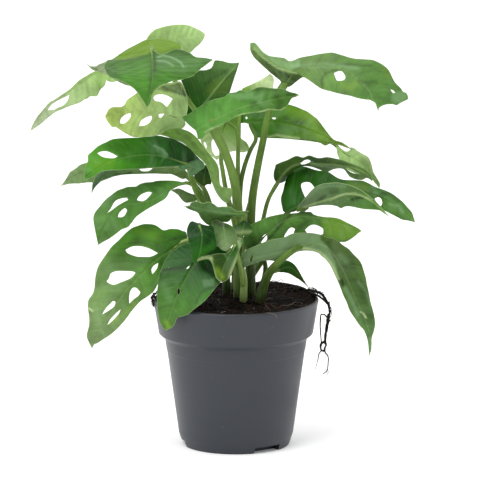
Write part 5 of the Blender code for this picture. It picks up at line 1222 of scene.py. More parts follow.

# TONE marks paint shade into creases, folds and shaded parts and light onto lit ones, besides the blades'
# own tone; SHEEN marks are painted greyish highlights, some an underside's grey
LOOKS: dict[str, Look] = {
    "leaf_top_back": Look(Green.CELERY, Green.LIME, slot="leaf_pale", puff=0.2, painted_sheen=0.1),
    "leaf_top_front": Look(Green.FOREST, Green.LAUREL, puff=0.25, painted_sheen=0.1, marks=(
        patch(WARM, 0.5, 1.2, """113,60 120,55 127,49 135,44 145,40 152,38 162,37 172,39 178,43 182,49
            175,48.5 170,50.5 163,53 157,52 152,47 149,54 143,55.5 135,58 125,60"""),
        streak(TONE, -0.35, 1.2, "113,61 122,60.5 130,59.5 136,57 143,55.5"),
        streak(TONE, -0.4, 2.2, "153.5,51 154.5,60 154,70"),
        streak(TONE, -0.28, 1.8, "153,70 151,80 150,92"),
        streak(SHEEN, 0.75, 1, "157,57.5 163,55.5 170,57 176,59.5 181,63 184,68"),
        streak(SHEEN, 0.6, 1.1, "157,61 163,61 168,62.5 173,66"),
        patch(SHEEN, 0.16, 3, "156,54 185,54 205,61 197,70 180,74 158,70"),
        patch(TONE, -0.25, 1, "104,68 112,72 117,74 124,80 118,79 110,77"),
        patch(TONE, 0.16, 3, "112,62 150,58 149,92 125,80"),
        streak(TONE, 0.15, 5, "142,66 143,72"),
        streak(PALE, 0.45, 0.8, "152,97 155,91 160,87 165,85 170,84"),
    )),
    "leaf_drip_left": Look(Green.SAGE, Green.WILLOW, marks=(
        streak(TONE, -0.5, 1.1, "87,63.5 92,67.5 97,70"),
    )),
    "leaf_far_left": Look(Green.CELERY, Green.WILLOW, slot="leaf_pale", puff=0.25, painted_sheen=0.1, marks=(
        streak(TONE, -0.18, 5, "92,92 102,88"),
    )),
    "leaf_under_top": Look(Green.LIME, Green.SPRING, slot="leaf_pale", puff=0.25, painted_sheen=0.1, marks=(
        patch(TONE, -0.62, 1.2, "157,86 170,84.5 181,82 187,97 172,92.5 158,90"),
        streak(SHEEN, 0.5, 1, "168,86.5 176,89 182,94"),
        patch(TONE, -0.2, 3, "172,98 188,98 186,116 172,112"),
        patch(TONE, -0.16, 3, "105,108 124,106 124,130 106,124"),
        patch(WARM, 0.3, 3, "105,108 124,106 124,130 106,124"),
        streak(PALE, 0.5, 1.1, "163,113.4 174,116 185,121"),
    )),
    "leaf_behind_right": Look(
        Green.IVY, Green.DUSK, Face.UNDER, slot="leaf_dark", puff=0.15, painted_sheen=0.1, edge=0.1, marks=(
        patch(TONE, 0.5, 2.5, "213,62 222,61 239,63 236,71 222,69 212,70"),
        streak(TONE, -0.35, 1.8, "205,84 215,78 228,70"),
        streak(TONE, 0.25, 1.5, "213,80 224,75 234,68"),
        patch(WARM, 0.18, 3, "213,80 232,78 229,93 215,96 205,92"),
        patch(TONE, -0.15, 3, "184,82 198,78 200,96 186,96"),
    )),
    "leaf_centre_front": Look(Green.CLOVER, Green.FOREST, marks=(
        streak(TONE, -0.45, 2.6, "218.5,106 219.5,109"),
        streak(TONE, -0.5, 2.2, "252,106 255,103"),
        streak(TONE, -0.42, 2.8, "277,97 280,103 279,108"),
        patch(SHEEN, 0.3, 1.6, "228,94 255,92 253,99 238,100"),
        patch(TONE, -0.22, 1.6, "237,99 253,98 252,104 244,103"),
        streak(TONE, 0.2, 4, "228,108 242,106"),
        streak(SHEEN, 0.35, 2.4, "256,98 262,95 259,102"),
        streak(TONE, -0.35, 1.5, "231,92.5 246,91 262,89 276,90"),
        streak(PALE, 0.45, 0.8, """205,132 215,127 225,124 235,118 242,114.6 255,113 265,110.8 270,109.6
            280,111 285,108"""),
        streak(TONE, -0.35, 1.8, "289,94 297,96"),
        streak(TONE, 0.2, 6, "197,118 205,124"),
        streak(SHEEN, 0.2, 3, "262,104 268,104"),
    )),
    "leaf_top_right": Look(Green.MEADOW, Green.FERN, marks=(
        patch(TONE, -0.5, 0.8, """250.5,51 255,50 262,57 270,63.5 280,70 290,73 298,74 305,77 297,83 290,88
            282,88 281,81 275,76 268,70 260,63 254,57"""),
        patch(TONE, -0.18, 2, "280,71 298,75 303,77 292,83 286,80"),
        streak(PALE, 0.4, 0.8, "254,48 262,56.5 270,62.8 280,69 290,72.2 297,73"),
        patch(SHEEN, 0.5, 1.5, """251,43 258,46 266,54 277,57 289,61 300,59 300,66 290,71 278,66 268,59
            258,49"""),
        streak(TONE, -0.3, 1, "266,56 278,58.5 286,61.5 295,63"),
        streak(SHEEN, 0.42, 2.4, "292,66 310,66 330,65.5 345,67 358,69"),
        streak(TONE, -0.5, 1.1, "323,88 321.5,81 325,74 333,70.5 343,69.5"),
        streak(TONE, 0.2, 4, "327,85 330,78 350,88"),
        streak(WARM, 0.3, 4, "343,86 352,88 356,84"),
        streak(TONE, -0.4, 1.2, "337,64.5 350,64.5 360,66 372,66"),
        streak(TONE, -0.42, 1.8, "359,81 367,83 376,82"),
        patch(SHEEN, 0.4, 2, "392,93 404,91 409,97 400,104 391,101"),
        streak(WARM, 0.25, 4, "385,69 389,76"),
        streak(TONE, -0.2, 4, "378,98 388,100"),
    )),
    "leaf_sliver_centre": Look(Green.APPLE, Green.FROST, slot="leaf_pale", puff=0.15, painted_sheen=0.05, marks=(
        streak(PALE, 0.25, 2.5, "270,77 270,88"),
    )),
    "leaf_mid_right": Look(Green.LAUREL, Green.BAY, puff=0.3, marks=(
        patch(TONE, -0.3, 2, "249,114 268,110 266,138 256,141"),
        streak(WARM, 0.35, 5, "290,109 305,113 315,121"),
        streak(TONE, 0.28, 5, "288,109 303,112 315,120"),
        streak(TONE, -0.35, 2, "285,118 292,121.5 302,123"),
        streak(TONE, 0.25, 5, "312,128 323,137"),
        streak(PALE, 0.5, 1.1, "269,136.8 277,135 286,137 299,138.4"),
        streak(TONE, -0.5, 0.8, "268,138.7 300,139.8 330,142.8"),
        streak(SHEEN, 0.2, 4, "276,130 290,130"),
    )),
    "leaf_far_right": Look(Green.LIME, Green.MEADOW, slot="leaf_pale", puff=0.25, painted_sheen=0.1, marks=(
        patch(TONE, -0.25, 1, "358,155 372,162 373,178 365,172"),
        streak(PALE, 0.3, 1.3, "352,149 362,154 370,162 372,172"),
        streak(SHEEN, 0.35, 1.2, "338,142 345,144 350,149"),
    )),
    "leaf_edge_on_right": Look(
        Green.PINE, Green.MEADOW, Face.UNDER, slot="leaf_dark", puff=0.2, painted_sheen=0.15, edge=0.1, marks=(
        patch(WARM, 0.18, 3, "276,163 295,157 303,160 288,176 276,181"),
        streak(SHEEN, 0.4, 1, "311,160.5 320,165.5 335,168 345,168"),
        streak(TONE, -0.25, 2.5, "312,158 330,160 345,163"),
        streak(TONE, -0.3, 1.5, "348,170 358,177"),
    )),
    "leaf_big_right": Look(Green.IVY, Green.FOREST, edge=0.12, marks=(
        streak(TONE, -0.35, 3, "303,171 310,174"),
        streak(TONE, 0.3, 4, "292,178 293,200"),
        streak(TONE, -0.35, 1.8, "282,193 282,200 285,208"),
        streak(WARM, 0.25, 4, "350,185 366,188"),
        streak(SHEEN, 0.25, 2.5, "374,187 375,193"),
        patch(TONE, 0.35, 3, "384,195 400,200 412,212 413,220 398,216 384,206"),
        streak(SHEEN, 0.3, 2, "390,204 400,206 402,212"),
        streak(TONE, -0.35, 1.5, "382,193 392,196 399,201"),
    )),
    "leaf_underside_right": Look(Green.SAGE, Green.FERN, Face.UNDER, puff=0.2, painted_sheen=0.15, marks=(
        streak(TONE, -0.65, 1.8, "352,199.5 357,198 363,197"),
        streak(TONE, -0.65, 1.8, "318,201 322,198 325,196"),
        streak(TONE, -0.25, 3, "331,192 338,191"),
        streak(PALE, 0.3, 0.9, "330,200 337,196 345,193.5 355,193 362,195 372,200"),
        streak(SHEEN, 0.35, 1.8, "308,196 318,188 330,185 345,186"),
    )),
    "leaf_lower_right": Look(Green.FERN, Green.FOREST, edge=0.15, marks=(
        streak(TONE, -0.62, 1.5, "291,215 284,221 275,232 268,240"),
        streak(TONE, 0.25, 3.5, "287,222 298,219"),
        streak(TONE, 0.2, 4, "262,224 274,220"),
        streak(TONE, -0.45, 2.6, "298,229 303,225 309,222"),
        streak(TONE, -0.4, 1.4, "285,214 300,212.5 312,213"),
        patch(TONE, -0.35, 3, "244,236 262,234 260,247 248,252"),
        patch(TONE, 0.28, 2, "324,216 340,218 362,232 345,241 326,240"),
        patch(WARM, 0.3, 2, "322,214 340,218 362,232 345,241 324,240"),
    )),
    "leaf_arching_right": Look(Green.MOSS, Green.DUSK, painted_sheen=0.12, marks=(
        patch(SHEEN, 0.5, 1.2, """242,252 262,242 290,233 320,233 321,240 327,246 331,254 335,262 339,280
            332,266 318,253 300,251 277,262 243,269"""),
        streak(PALE, 0.4, 1.5, """288,254 296,250 303,248.6 310,249 318,251.5 325,256.5 330,263 334,270
            338,279"""),
        patch(TONE, -0.24, 2, """322,240 328,246 332,254 336,262 341,282 352,300 364,325 374,325 366,290
            352,256 340,243"""),
        streak(TONE, -0.75, 1.2, "252.6,255 251,259 250,263"),
        streak(TONE, -0.3, 1.6, "300,246 310,246.5 318,248"),
        streak(TONE, -0.4, 1.4, "262,262 270,260 277,259"),
        streak(SHEEN, 0.3, 1.4, "358,281 366,292 371,305"),
        streak(PALE, 0.6, 0.7, "361,312 364,314 366,318"),
        streak(TONE, -0.65, 1.5, "342,281 343,286"),
        streak(SHEEN, 0.35, 2.2, "345,288 352,300 358,315"),
        streak(SHEEN, 0.3, 1.5, "370,338 370,355"),
        streak(TONE, 0.18, 4, "336,246 348,262"),
        streak(SHEEN, 0.22, 3, "340,255 346,262"),
    )),
    "leaf_small_right": Look(Green.IVY, Green.MOSS, slot="leaf_dark", puff=0.15, painted_sheen=0.1, edge=0.08),
    "leaf_big_left": Look(Green.NIGHT, Green.LAUREL, painted_sheen=0.25, marks=(
        patch(TONE, -0.42, 2.5, "170,138 185,140 197,150 201,158 190,162 178,163 168,158 167,148"),
        patch(TONE, 0.5, 4, "86,152 100,144 118,158 145,165 120,172 95,180 86,170"),
        streak(WARM, 0.2, 6, "95,165 110,163"),
        streak(SHEEN, 0.55, 1.1, "154,146 159,148 163,150 167,155"),
        streak(SHEEN, 0.3, 2.2, "158,150 165,156"),
        streak(TONE, -0.3, 1.4, "150,147 153,155 160,158"),
        streak(PALE, 0.35, 0.8, "102,171.5 130,170.3 160,168 178,167"),
        patch(SHEEN, 0.35, 1, "180,167 190,162 200,159 205,163 205,168 200,172 192,176 186,174"),
        streak(TONE, -0.5, 0.9, "179,165 189,161 200,157.6"),
    )),
    "leaf_left_tip": Look(Green.MEADOW, Green.PEAR),
    "leaf_left_strip": Look(Green.REED, Green.SHADE, slot="leaf_dark", marks=(
        streak(TONE, -0.45, 1.8, "114,174 131,173"),
    )),
    "leaf_three_holes": Look(Green.CLOVER, Green.FERN, marks=(
        streak(TONE, -0.35, 2.2, "154,182.5 166,181.5"),
        streak(SHEEN, 0.2, 3, "160,192 165,196"),
        streak(SHEEN, 0.3, 3, "104,204 112,196"),
    )),
    "leaf_six_holes": Look(Green.LAUREL, Green.REED, puff=0.2, painted_sheen=0.1, marks=(
        patch(TONE, -0.32, 4, "157,236 186,232 188,264 160,268 150,258"),
        streak(TONE, 0.5, 6, "108,256 118,246 126,240"),
        streak(TONE, 0.22, 5, "132,236 150,234"),
        streak(WARM, 0.2, 5, "140,230 156,236"),
        streak(TONE, -0.32, 0.9, "124,245 138,242 152,246"),
        streak(SHEEN, 0.3, 1.6, "171,252 166,261 160,275 156,284"),
        streak(TONE, -0.25, 0.9, "112,262 130,261 150,263"),
        streak(TONE, 0.15, 7, "100,296 98,320"),
        streak(SHEEN, 0.25, 3, "97,310 100,325"),
        streak(PALE, 0.7, 0.9, "89,308.5 93,311"),
        streak(WARM, 0.3, 1.4, "112,323 124,314 136,303"),
        streak(TONE, -0.4, 1.2, "170,240 186,236"),
    )),
    "leaf_over_rim": Look(Green.NIGHT, Green.FERN, puff=0.12, painted_sheen=0.1, marks=(
        patch(TONE, -0.3, 3, "164,268 190,262 214,260 214,272 196,270 168,275"),
        streak(TONE, -0.45, 3, "204,266 212,275"),
        streak(SHEEN, 0.2, 4, "163,284 170,300"),
        streak(TONE, -0.35, 1.1, "196,303 201,293 207,289 214,287"),
        patch(TONE, 0.28, 1.5, "197,304 203,293 214,289 214,293 200,306"),
        patch(SHEEN, 0.3, 1.5, "202,280 214,279 214,286 204,287"),
        streak(WARM, 0.5, 2.5, "166,322 169,328"),
        streak(TONE, -0.5, 0.8, "159,276 166,269.5 182,268.6"),
        streak(TONE, 0.2, 4, "184,303 178,310"),
    )),
    "leaf_small_dark": Look(
        Green.BOTTLE, Green.IVY, slot="leaf_dark", painted_sheen=0.0, puff=0.2, edge=0.05, marks=(
        patch(TONE, -0.2, 1.5, "186,220 214,225 214,232 206,229.5 190,229.5"),
        streak(TONE, -0.5, 2.5, "210,236 207,244"),
        streak(TONE, 0.7, 4, "203,252 213,245"),
    )),
    "leaf_pale_small": Look(Green.FOREST, Green.PEAR, slot="leaf_pale", puff=0.15, painted_sheen=0.1, marks=(
        patch(TONE, -0.5, 0.9, "208,217 222,218 227,222 231,227.5 222,227.5 214,223.5"),
    )),
    "leaf_curled_centre": Look(Green.IVY, Green.MOSS, puff=0.15, painted_sheen=0.1, marks=(
        streak(PALE, 0.35, 1.8, "198,261 202,258 208,257.5 211,259"),
        streak(PALE, 0.3, 0.9, "211,257 212.5,264 214.5,273 217,279 221,281.5"),
        patch(TONE, -0.35, 1, "213,254 222,252 228,262 222,268 215,264"),
        streak(SHEEN, 0.35, 0.8, "213,253.5 219,251 224,253 228,259"),
        streak(WARM, 0.45, 2.6, "217,270 222,277"),
        streak(TONE, 0.4, 2.6, "217,272 222,278"),
        streak(PALE, 0.35, 1.8, "240,252 236,260 232,270 230,277"),
        streak(TONE, -0.5, 2.2, "233,246 235,250"),
        streak(PALE, 0.4, 2, "239,242 241,248"),
    )),
    "leaf_fold_left": Look(Green.MEADOW, Green.PEAR, slot="leaf_dark", puff=0.2, edge=0.1),
    "leaf_shaded_left": Look(Green.MOSS, Green.BOTTLE, slot="leaf_dark", puff=0.15, painted_sheen=0.1, edge=0.05),
    "leaf_young_arching": Look(Green.MEADOW, Green.APPLE, puff=0.2, marks=(
        streak(SHEEN, 0.35, 3, "214,189 217,195"),
        streak(TONE, -0.28, 1.2, "186,135 197,146 206,158"),
        streak(TONE, -0.25, 1.2, "176,131 188,139 198,151"),
    )),
    "leaf_behind_stems": Look(Green.APPLE, Green.FROST, slot="leaf_pale", puff=0.15, painted_sheen=0.05),
    "leaf_edge_centre": Look(Green.FERN, Green.DUSK, puff=0.2, marks=(
        streak(TONE, -0.6, 1.6, "184,206.5 189,208 193,210.5"),
        patch(SHEEN, 0.25, 1.5, "208,203 232,207 248,211 232,216 206,211"),
        patch(TONE, -0.3, 1.5, "207,213 232,214 230,222 212,220"),
        streak(TONE, -0.5, 1, "226,216 235,216"),
    )),
    "leaf_small_dome": Look(
        Green.FOREST, Green.BOTTLE, slot="leaf_dark", puff=0.1, painted_sheen=0.05, edge=0.05, marks=(
        streak(PALE, 0.3, 2, "237,233 244,232 251,232"),
    )),
    "leaf_back_high": Look(Green.CLOVER, Green.MEADOW),
    "leaf_back_centre": Look(Green.CLOVER, Green.CLOVER),
    "leaf_back_left": Look(Green.CLOVER, Green.CLOVER),
    "leaf_back_low_left": Look(Green.CLOVER, Green.CLOVER),
    "leaf_back_low_right": Look(Green.CLOVER, Green.CLOVER),
}

# Feet below 0 are partly painted shade, where the stems stand in shade near the soil, partly their own
# darker colour; lighter feet are their own paler colour
STALK_LOOKS: dict[str, StalkLook] = {
    "leaf_centre_front": StalkLook(-0.75, -0.12, 0.1),
    "leaf_top_front": StalkLook(-0.4, 0.0, 0.2),
    "leaf_under_top": StalkLook(0.0, 0.2, 0.3),
    "leaf_top_right": StalkLook(-0.9, -0.3, 0.05),
    "leaf_edge_on_right": StalkLook(-0.5, -0.35, 0.1),
    "leaf_big_right": StalkLook(-0.6, -0.5, 0.0),
    "leaf_underside_right": StalkLook(-0.6, -0.5, 0.0),
    "leaf_big_left": StalkLook(-1.1, -0.2, 0.0),
    "leaf_arching_right": StalkLook(-1.15, -0.35, 0.0),
    "leaf_lower_right": StalkLook(-0.7, -0.6, 0.0),
    "leaf_small_right": StalkLook(-0.6, -0.55, 0.0),
    "leaf_six_holes": StalkLook(1.0, -0.45, 0.7),
    "leaf_over_rim": StalkLook(-0.4, -0.4, 0.1),
    "leaf_curled_centre": StalkLook(0.3, 0.1, 0.4),
    "leaf_back_left": StalkLook(-0.8, -0.2, 0.1),
    "leaf_mid_right": StalkLook(-0.5, -0.5, 0.0),
}

ROOTLETS: tuple[str, ...] = (
    "252,294,-10 255,298,-14 262,300,-18 268,302,-22 275,300,-20",
    "263,301,-18 266,306,-30 271,311,-42",
    "268,302,-22 276,305,-30 282,303,-26 289,304,-24 296,300,-10",
    "262,313.6,-54 266,312.9,-57 271,313.2,-58.6 275.6,315.2,-59.4 277,318.4,-59.2",
    "268,283.5,50 273,280.6,53 277,281.6,54 281,279.6,55 284,281.6,55",
    "270,282.5,52 276,282.8,54 283,283.6,55 290,285.6,52",
    "306,290,22 311,287,18 316,290.5,12 313,294,8 309,292,12",
    "308,289,20 314,288.6,15 319,292.8,8 321,298,5",
    "218,297,-10 219,301,-16 221,305,-24",
)


@dataclass(frozen=True)
class FaceFinish:
    """How strongly a face of a blade shows each of its features.

    pale: how far the veins' colour goes from the blade's green to the rib's.
    The heights are how far a feature rises in the bump, below 0 where it sinks.
    """

    streaks: float
    net: float
    pale: float
    vein: float
    rib: float
    # the share of the greyish highlight painted in patches that this face gets
    painted_sheen: float
    net_height: float
    vein_height: float
    rib_height: float
    roughness: float
    specular: float


FACES: dict[Face, FaceFinish] = {
    Face.UPPER: FaceFinish(
        streaks=0.55, net=0.06, pale=0.45, vein=0.14, rib=0.17, painted_sheen=1.0, net_height=0.35,
        vein_height=-0.8, rib_height=-0.8, roughness=0.40, specular=0.18,
    ),
    Face.UNDER: FaceFinish(
        streaks=0.4, net=0.10, pale=0.6, vein=0.2, rib=0.4, painted_sheen=0.4, net_height=0.6,
        vein_height=1.4, rib_height=1.6, roughness=0.58, specular=0.12,
    ),
}


@dataclass(frozen=True)
class LeafFinish:
    """One face of a blade: its colour from base to tip, its veins, net and marks.

    pitch, slant and curve lay out the side veins as the blade's relief does.
    edge sets how pale the margin is; the number after it sets how much painted sheen, a greyish highlight
    in patches, the blade gets.
    """

    base: Colour
    tip: Colour
    face: Face
    length: float
    pitch: float
    slant: float
    curve: float
    edge: float
    painted_sheen: float
    seed: float

    CREAM = screen(204, 220, 160)
    OLIVE = screen(126, 160, 34)
    # Grey-green mixed in as painted highlight, and also as the grey of turned-over undersides
    HIGHLIGHT_AND_UNDERSIDE_GREY = screen(160, 198, 152)
    RIB = screen(178, 204, 130)

    # Clouds, specks and cells of the net in a metre
    CLOUDS, SPECKS, NET = 72.0, 420.0, 330.0

    def material(self, name: str) -> bpy.types.Material:
        """Build the face's material.

        Args:
            name: the material's name.

        Returns:
            The material.
        """
        shader = Shader(name)
        face = FACES[self.face]
        across, side, _ = shader.split(shader.rib_map())
        along, side = across * (RIB_MAP / MM), side * (RIB_MAP / MM)
        width = abs(side)
        place = shader.place()
        reach = along - width * self.slant - width * width * self.curve
        phase = reach / self.pitch + (side > 0.0) * 0.5
        gap = (0.5 - abs(phase.maths("FRACT") - 0.5)) * self.pitch
        vein = shader.band(gap, 0.1, 0.7, 1.0, 0.0) * shader.band(width, 0.5, 2.5, 0.0, 1.0)
        rib_width = shader.band(along, 0.0, self.length, 0.75, 0.3)
        rib = shader.band(width / rib_width, 0.7, 1.4, 1.0, 0.0)
        margin = shader.attribute("margin")
        vein = vein * shader.band(margin, 0.5, 4.0, 0.25, 1.0)
        broken = shader.grain(place, 85.0, 2.0, self.seed + 5.0)
        vein = vein * shader.band(broken, 0.35, 0.62, 0.15, 1.0)
        clouds = shader.grain(place, self.CLOUDS, 4.0, self.seed)
        woven = shader.joined(reach * 0.32, width * 0.075, self.seed)
        streaks = shader.grain(woven, 1.0, 3.0, self.seed)
        patches = shader.grain(shader.joined(reach * 0.16, width * 0.06, self.seed), 1.0, 2.0, 9.0)
        patches = shader.band(patches, 0.5, 0.72, 0.0, 1.0)
        specks = shader.grain(place, self.SPECKS, 2.0, self.seed)
        net = shader.band(shader.cells(place, self.NET), 0.0, 0.12, 1.0, 0.0)
        colour = shader.mix(shader.band(along, 0.0, self.length, 0.0, 1.0), self.base, self.tip)
        # The stored tone from the marks holds painted shade and painted light as well as the blade's own
        # tone
        tone = (clouds - 0.5) * 1.0 + (specks - 0.5) * 0.25 + shader.attribute("tone")
        tone = tone + (streaks - 0.5) * face.streaks + net * face.net
        tone = tone + shader.band(gap, 0.0, 2.8, -0.08, 0.04)
        colour = shader.scaled(colour, (tone + 1.0).maths("MAXIMUM", 0.1))
        colour = shader.mix(shader.attribute("warm"), colour, self.OLIVE)
        paler = shader.mix(face.pale, colour, self.RIB)
        colour = shader.mix(vein * face.vein, colour, paler)
        colour = shader.mix(rib * face.rib, colour, paler)
        # Painted sheen: a greyish highlight in noise patches, plus the SHEEN marks' painted highlights and
        # underside grey
        painted_shine = patches * (self.painted_sheen * face.painted_sheen)
        colour = shader.mix(painted_shine * 0.35 + shader.attribute("sheen") * 0.5, colour, self.HIGHLIGHT_AND_UNDERSIDE_GREY)
        edge = shader.band(margin, 0.1, 0.5, self.edge, 0.0)
        pale = shader.attribute("pale").maths("MAXIMUM", edge)
        colour = shader.mix(pale, colour, self.CREAM)
        height = net * face.net_height + specks * 0.5
        height = height + vein * face.vein_height + rib * face.rib_height
        rough = shader.band(clouds + specks * 0.5, 0.3, 1.2, -0.07, 0.07)
        return shader.finish(
            Base_Color=colour,
            Roughness=rough + face.roughness,
            Normal=shader.bump(height, 0.1 * MM, 0.7),
            Specular_IOR_Level=face.specular,
        )


@dataclass(frozen=True)
class StalkFinish:
    """Petiole and stem skin: streaks along it, freckles, and a brown foot at the soil."""

    green: Colour = screen(106, 142, 54)
    light: Colour = screen(160, 182, 110)
    foot: Colour = screen(46, 44, 16)
    foot_height: float = 110.0
    foot_fade: float = 11.0
    seed: float = 0.0

    # Streaks, clouds and freckles in a metre
    STREAKS, CLOUDS, FRECKLES = 1500.0, 90.0, 1100.0

    def material(self, name: str) -> bpy.types.Material:
        """Build the skin's material.

        Args:
            name: the material's name.

        Returns:
            The material.
        """
        shader = Shader(name)
        sweep = shader.output("ShaderNodeAttribute", {"attribute_name": "sweep"}, {}, "Vector")
        x, y, along = shader.split(sweep)
        stretched = shader.joined(x, y, along * 0.06)
        streaks = shader.grain(stretched, self.STREAKS, 2.0, self.seed)
        clouds = shader.grain(shader.place(), self.CLOUDS, 3.0, self.seed + 3.0)
        freckles = shader.cells(shader.joined(x, y, along * 0.35), self.FRECKLES, "F1")
        freckles = shader.band(freckles, 0.10, 0.22, 1.0, 0.0)
        # The stored tone darkens the feet, partly as painted shade near the soil
        tone = (streaks - 0.5) * 0.9 + (clouds - 0.5) * 0.7 + shader.attribute("tone") + 1.0
        colour = shader.scaled(self.green, tone.maths("MAXIMUM", 0.08))
        colour = shader.mix(shader.attribute("pale"), colour, self.light)
        colour = shader.mix(freckles * 0.22, colour, self.light)
        height = shader.split(shader.place())[2] / MM
        top = self.foot_height + self.foot_fade
        foot = shader.band(height + clouds * 9.0, self.foot_height, top, 1.0, 0.0)
        colour = shader.mix(foot * 0.75, colour, self.foot)
        return shader.finish(
            Base_Color=colour,
            Roughness=shader.band(streaks, 0.2, 0.8, 0.38, 0.52),
            Normal=shader.bump(streaks + freckles * 0.3, 0.12 * MM, 0.6),
            Specular_IOR_Level=0.22,
        )


@dataclass(frozen=True)
class RootFinish:
    """Dry root skin: nearly black, scaly, with a paler tan where it is thin."""

    skin: Colour = screen(24, 20, 17)
    thin: Colour = screen(74, 62, 50)
    dust: Colour = screen(58, 50, 42)

    # Scales and rings in a metre
    SCALES, RINGS = 700.0, 2600.0

    def material(self, name: str) -> bpy.types.Material:
        """Build the skin's material.

        Args:
            name: the material's name.

        Returns:
            The material.
        """
        shader = Shader(name)
        place = shader.place()
        scales = shader.grain(place, self.SCALES, 3.0)
        rings = shader.grain(place, self.RINGS, 2.0, 4.0)
        colour = shader.mix(shader.attribute("pale"), self.skin, self.thin)
        colour = shader.mix(shader.band(scales, 0.5, 0.72, 0.0, 0.7), colour, self.dust)
        colour = shader.scaled(colour, rings * 0.9 + 0.55)
        return shader.finish(
            Base_Color=colour,
            Roughness=0.85,
            Normal=shader.bump(scales + rings * 0.5, 0.25 * MM, 0.9),
            Specular_IOR_Level=0.25,
        )


@dataclass(frozen=True)
class SoilFinish:
    """Moist potting mix: near-black peat with brown bits, pale grains and fibres."""

    peat: Colour = screen(8, 4, 2)
    brown: Colour = screen(36, 23, 14)
    grain: Colour = screen(84, 62, 44)
    grains: float = 0.14

    # Clods, bits and pale grains in a metre
    CLODS, BITS, GRAINS = 190.0, 900.0, 420.0

    def material(self, name: str) -> bpy.types.Material:
        """Build the mix's material.

        Args:
            name: the material's name.

        Returns:
            The material.
        """
        shader = Shader(name)
        place = shader.place()
        clods = shader.grain(place, self.CLODS, 4.0)
        bits = shader.grain(place, self.BITS, 3.0, 2.0)
        spots = shader.band(shader.cells(place, self.GRAINS, "F1"), 0.16, 0.26, 1.0, 0.0)
        chosen = shader.band(shader.grain(place, 330.0, 1.0, 5.0), 0.56, 0.62, 0.0, 1.0)
        colour = shader.mix(shader.band(clods, 0.42, 0.72, 0.0, 1.0), self.peat, self.brown)
        colour = shader.mix(spots * chosen * self.grains, colour, self.grain)
        colour = shader.scaled(colour, bits * 1.5 + 0.25)
        return shader.finish(
            Base_Color=colour,
            Roughness=shader.band(clods, 0.3, 0.7, 0.8, 0.98),
            Normal=shader.bump(clods * 1.5 + bits, 0.9 * MM, 1.0),
            Specular_IOR_Level=0.08,
        )


@dataclass(frozen=True)
class FibreFinish:
    """Dry fibres and rootlets in the mix, from straw to brown."""

    straw: Colour = screen(104, 92, 80)
    brown: Colour = screen(56, 40, 32)

    def material(self, name: str) -> bpy.types.Material:
        """Build the fibres' material.

        Args:
            name: the material's name.

        Returns:
            The material.
        """
        shader = Shader(name)
        place = shader.place()
        patches = shader.grain(place, 75.0, 2.0, 1.0)
        fine = shader.grain(place, 1500.0, 2.0, 6.0)
        colour = shader.mix(shader.band(patches, 0.42, 0.6, 0.0, 1.0), self.brown, self.straw)
        return shader.finish(
            Base_Color=shader.scaled(colour, fine + 0.45),
            Roughness=0.88,
            Normal=shader.bump(fine, 0.12 * MM, 0.7),
        )


@dataclass(frozen=True)
class PlasticFinish:
    """Matt polypropylene of the pot, with moulding grain, scuffs, and soil dust and painted shade inside.
    """

    plastic: Colour = screen(43, 47, 55)
    scuff: Colour = screen(132, 134, 138)
    soil: Colour = screen(30, 24, 22)
    rim: float = 107.5
    band_foot: float = 55.6
    band_bottom: float = 81.5
    slope: float = 0.169
    wall: float = 1.4

    # Clouds, moulding grain, flecks and dust in a metre
    CLOUDS, GRAIN, FLECKS, DUST = 22.0, 2200.0, 260.0, 240.0

    def material(self, name: str) -> bpy.types.Material:
        """Build the plastic's material.

        Args:
            name: the material's name.

        Returns:
            The material.
        """
        shader = Shader(name)
        place = shader.place()
        x, y, z = shader.split(place)
        radius = (x * x + y * y).maths("SQRT") / MM
        clouds = shader.grain(place, self.CLOUDS, 3.0)
        grain = shader.grain(place, self.GRAIN, 2.0, 1.0)
        flow = shader.grain(shader.joined(x, y, z * 6.0), 60.0, 2.0, 2.0)
        marks = shader.grain(shader.joined(x * 3.0, y * 3.0, z), 160.0, 4.0, 3.0)
        marks = shader.band(marks, 0.68, 0.78, 0.0, 1.0)
        specks = shader.band(shader.cells(place, self.FLECKS, "F1"), 0.04, 0.09, 1.0, 0.0)
        chosen = shader.band(shader.grain(place, 110.0, 1.0, 7.0), 0.60, 0.66, 0.0, 1.0)
        colour = shader.scaled(self.plastic, clouds * 0.24 + flow * 0.1 + 0.83)
        colour = shader.mix(marks * 0.22, colour, self.scuff)
        colour = shader.mix(specks * chosen * 0.5, colour, self.scuff)
        height = z / MM
        # Darkened to the soil's colour on the inside of the rim band, as soil dust and painted shade, and
        # in patches along the rim's top
        dust = shader.grain(place, self.DUST, 4.0, 9.0)
        depth = (height - self.band_bottom) * self.slope + self.band_foot - radius
        inside = shader.band(depth + dust, self.wall + 0.1, self.wall + 0.6, 0.0, 1.0)
        inside = inside * (height > self.band_bottom)
        top = shader.band(height + dust * 1.2, self.rim + 0.1, self.rim + 0.6, 0.0, 1.0)
        soil_dust_and_shade = inside.maths("MAXIMUM", top * 0.8)
        colour = shader.mix(soil_dust_and_shade, colour, self.soil)
        return shader.finish(
            Base_Color=colour,
            Roughness=shader.band(clouds + marks * 0.3 + soil_dust_and_shade, 0.3, 1.3, 0.38, 0.8),
            Normal=shader.bump(grain + marks * 0.6 + dust * soil_dust_and_shade * 3.0, 0.08 * MM, 0.5),
            Specular_IOR_Level=0.45,
        )


@dataclass(frozen=True)
class FloorFinish:
    """The studio's pale paper floor, a little lit through from below."""

    paper: Colour = (0.96, 0.96, 0.96)
    glow: float = 0.12

    def material(self, name: str) -> bpy.types.Material:
        """Build the paper's material.

        Args:
            name: the material's name.

        Returns:
            The material.
        """
        shader = Shader(name)
        return shader.finish(
            Base_Color=self.paper,
            Roughness=0.9,
            Specular_IOR_Level=0.1,
            Emission_Color=self.paper,
            Emission_Strength=self.glow,
        )


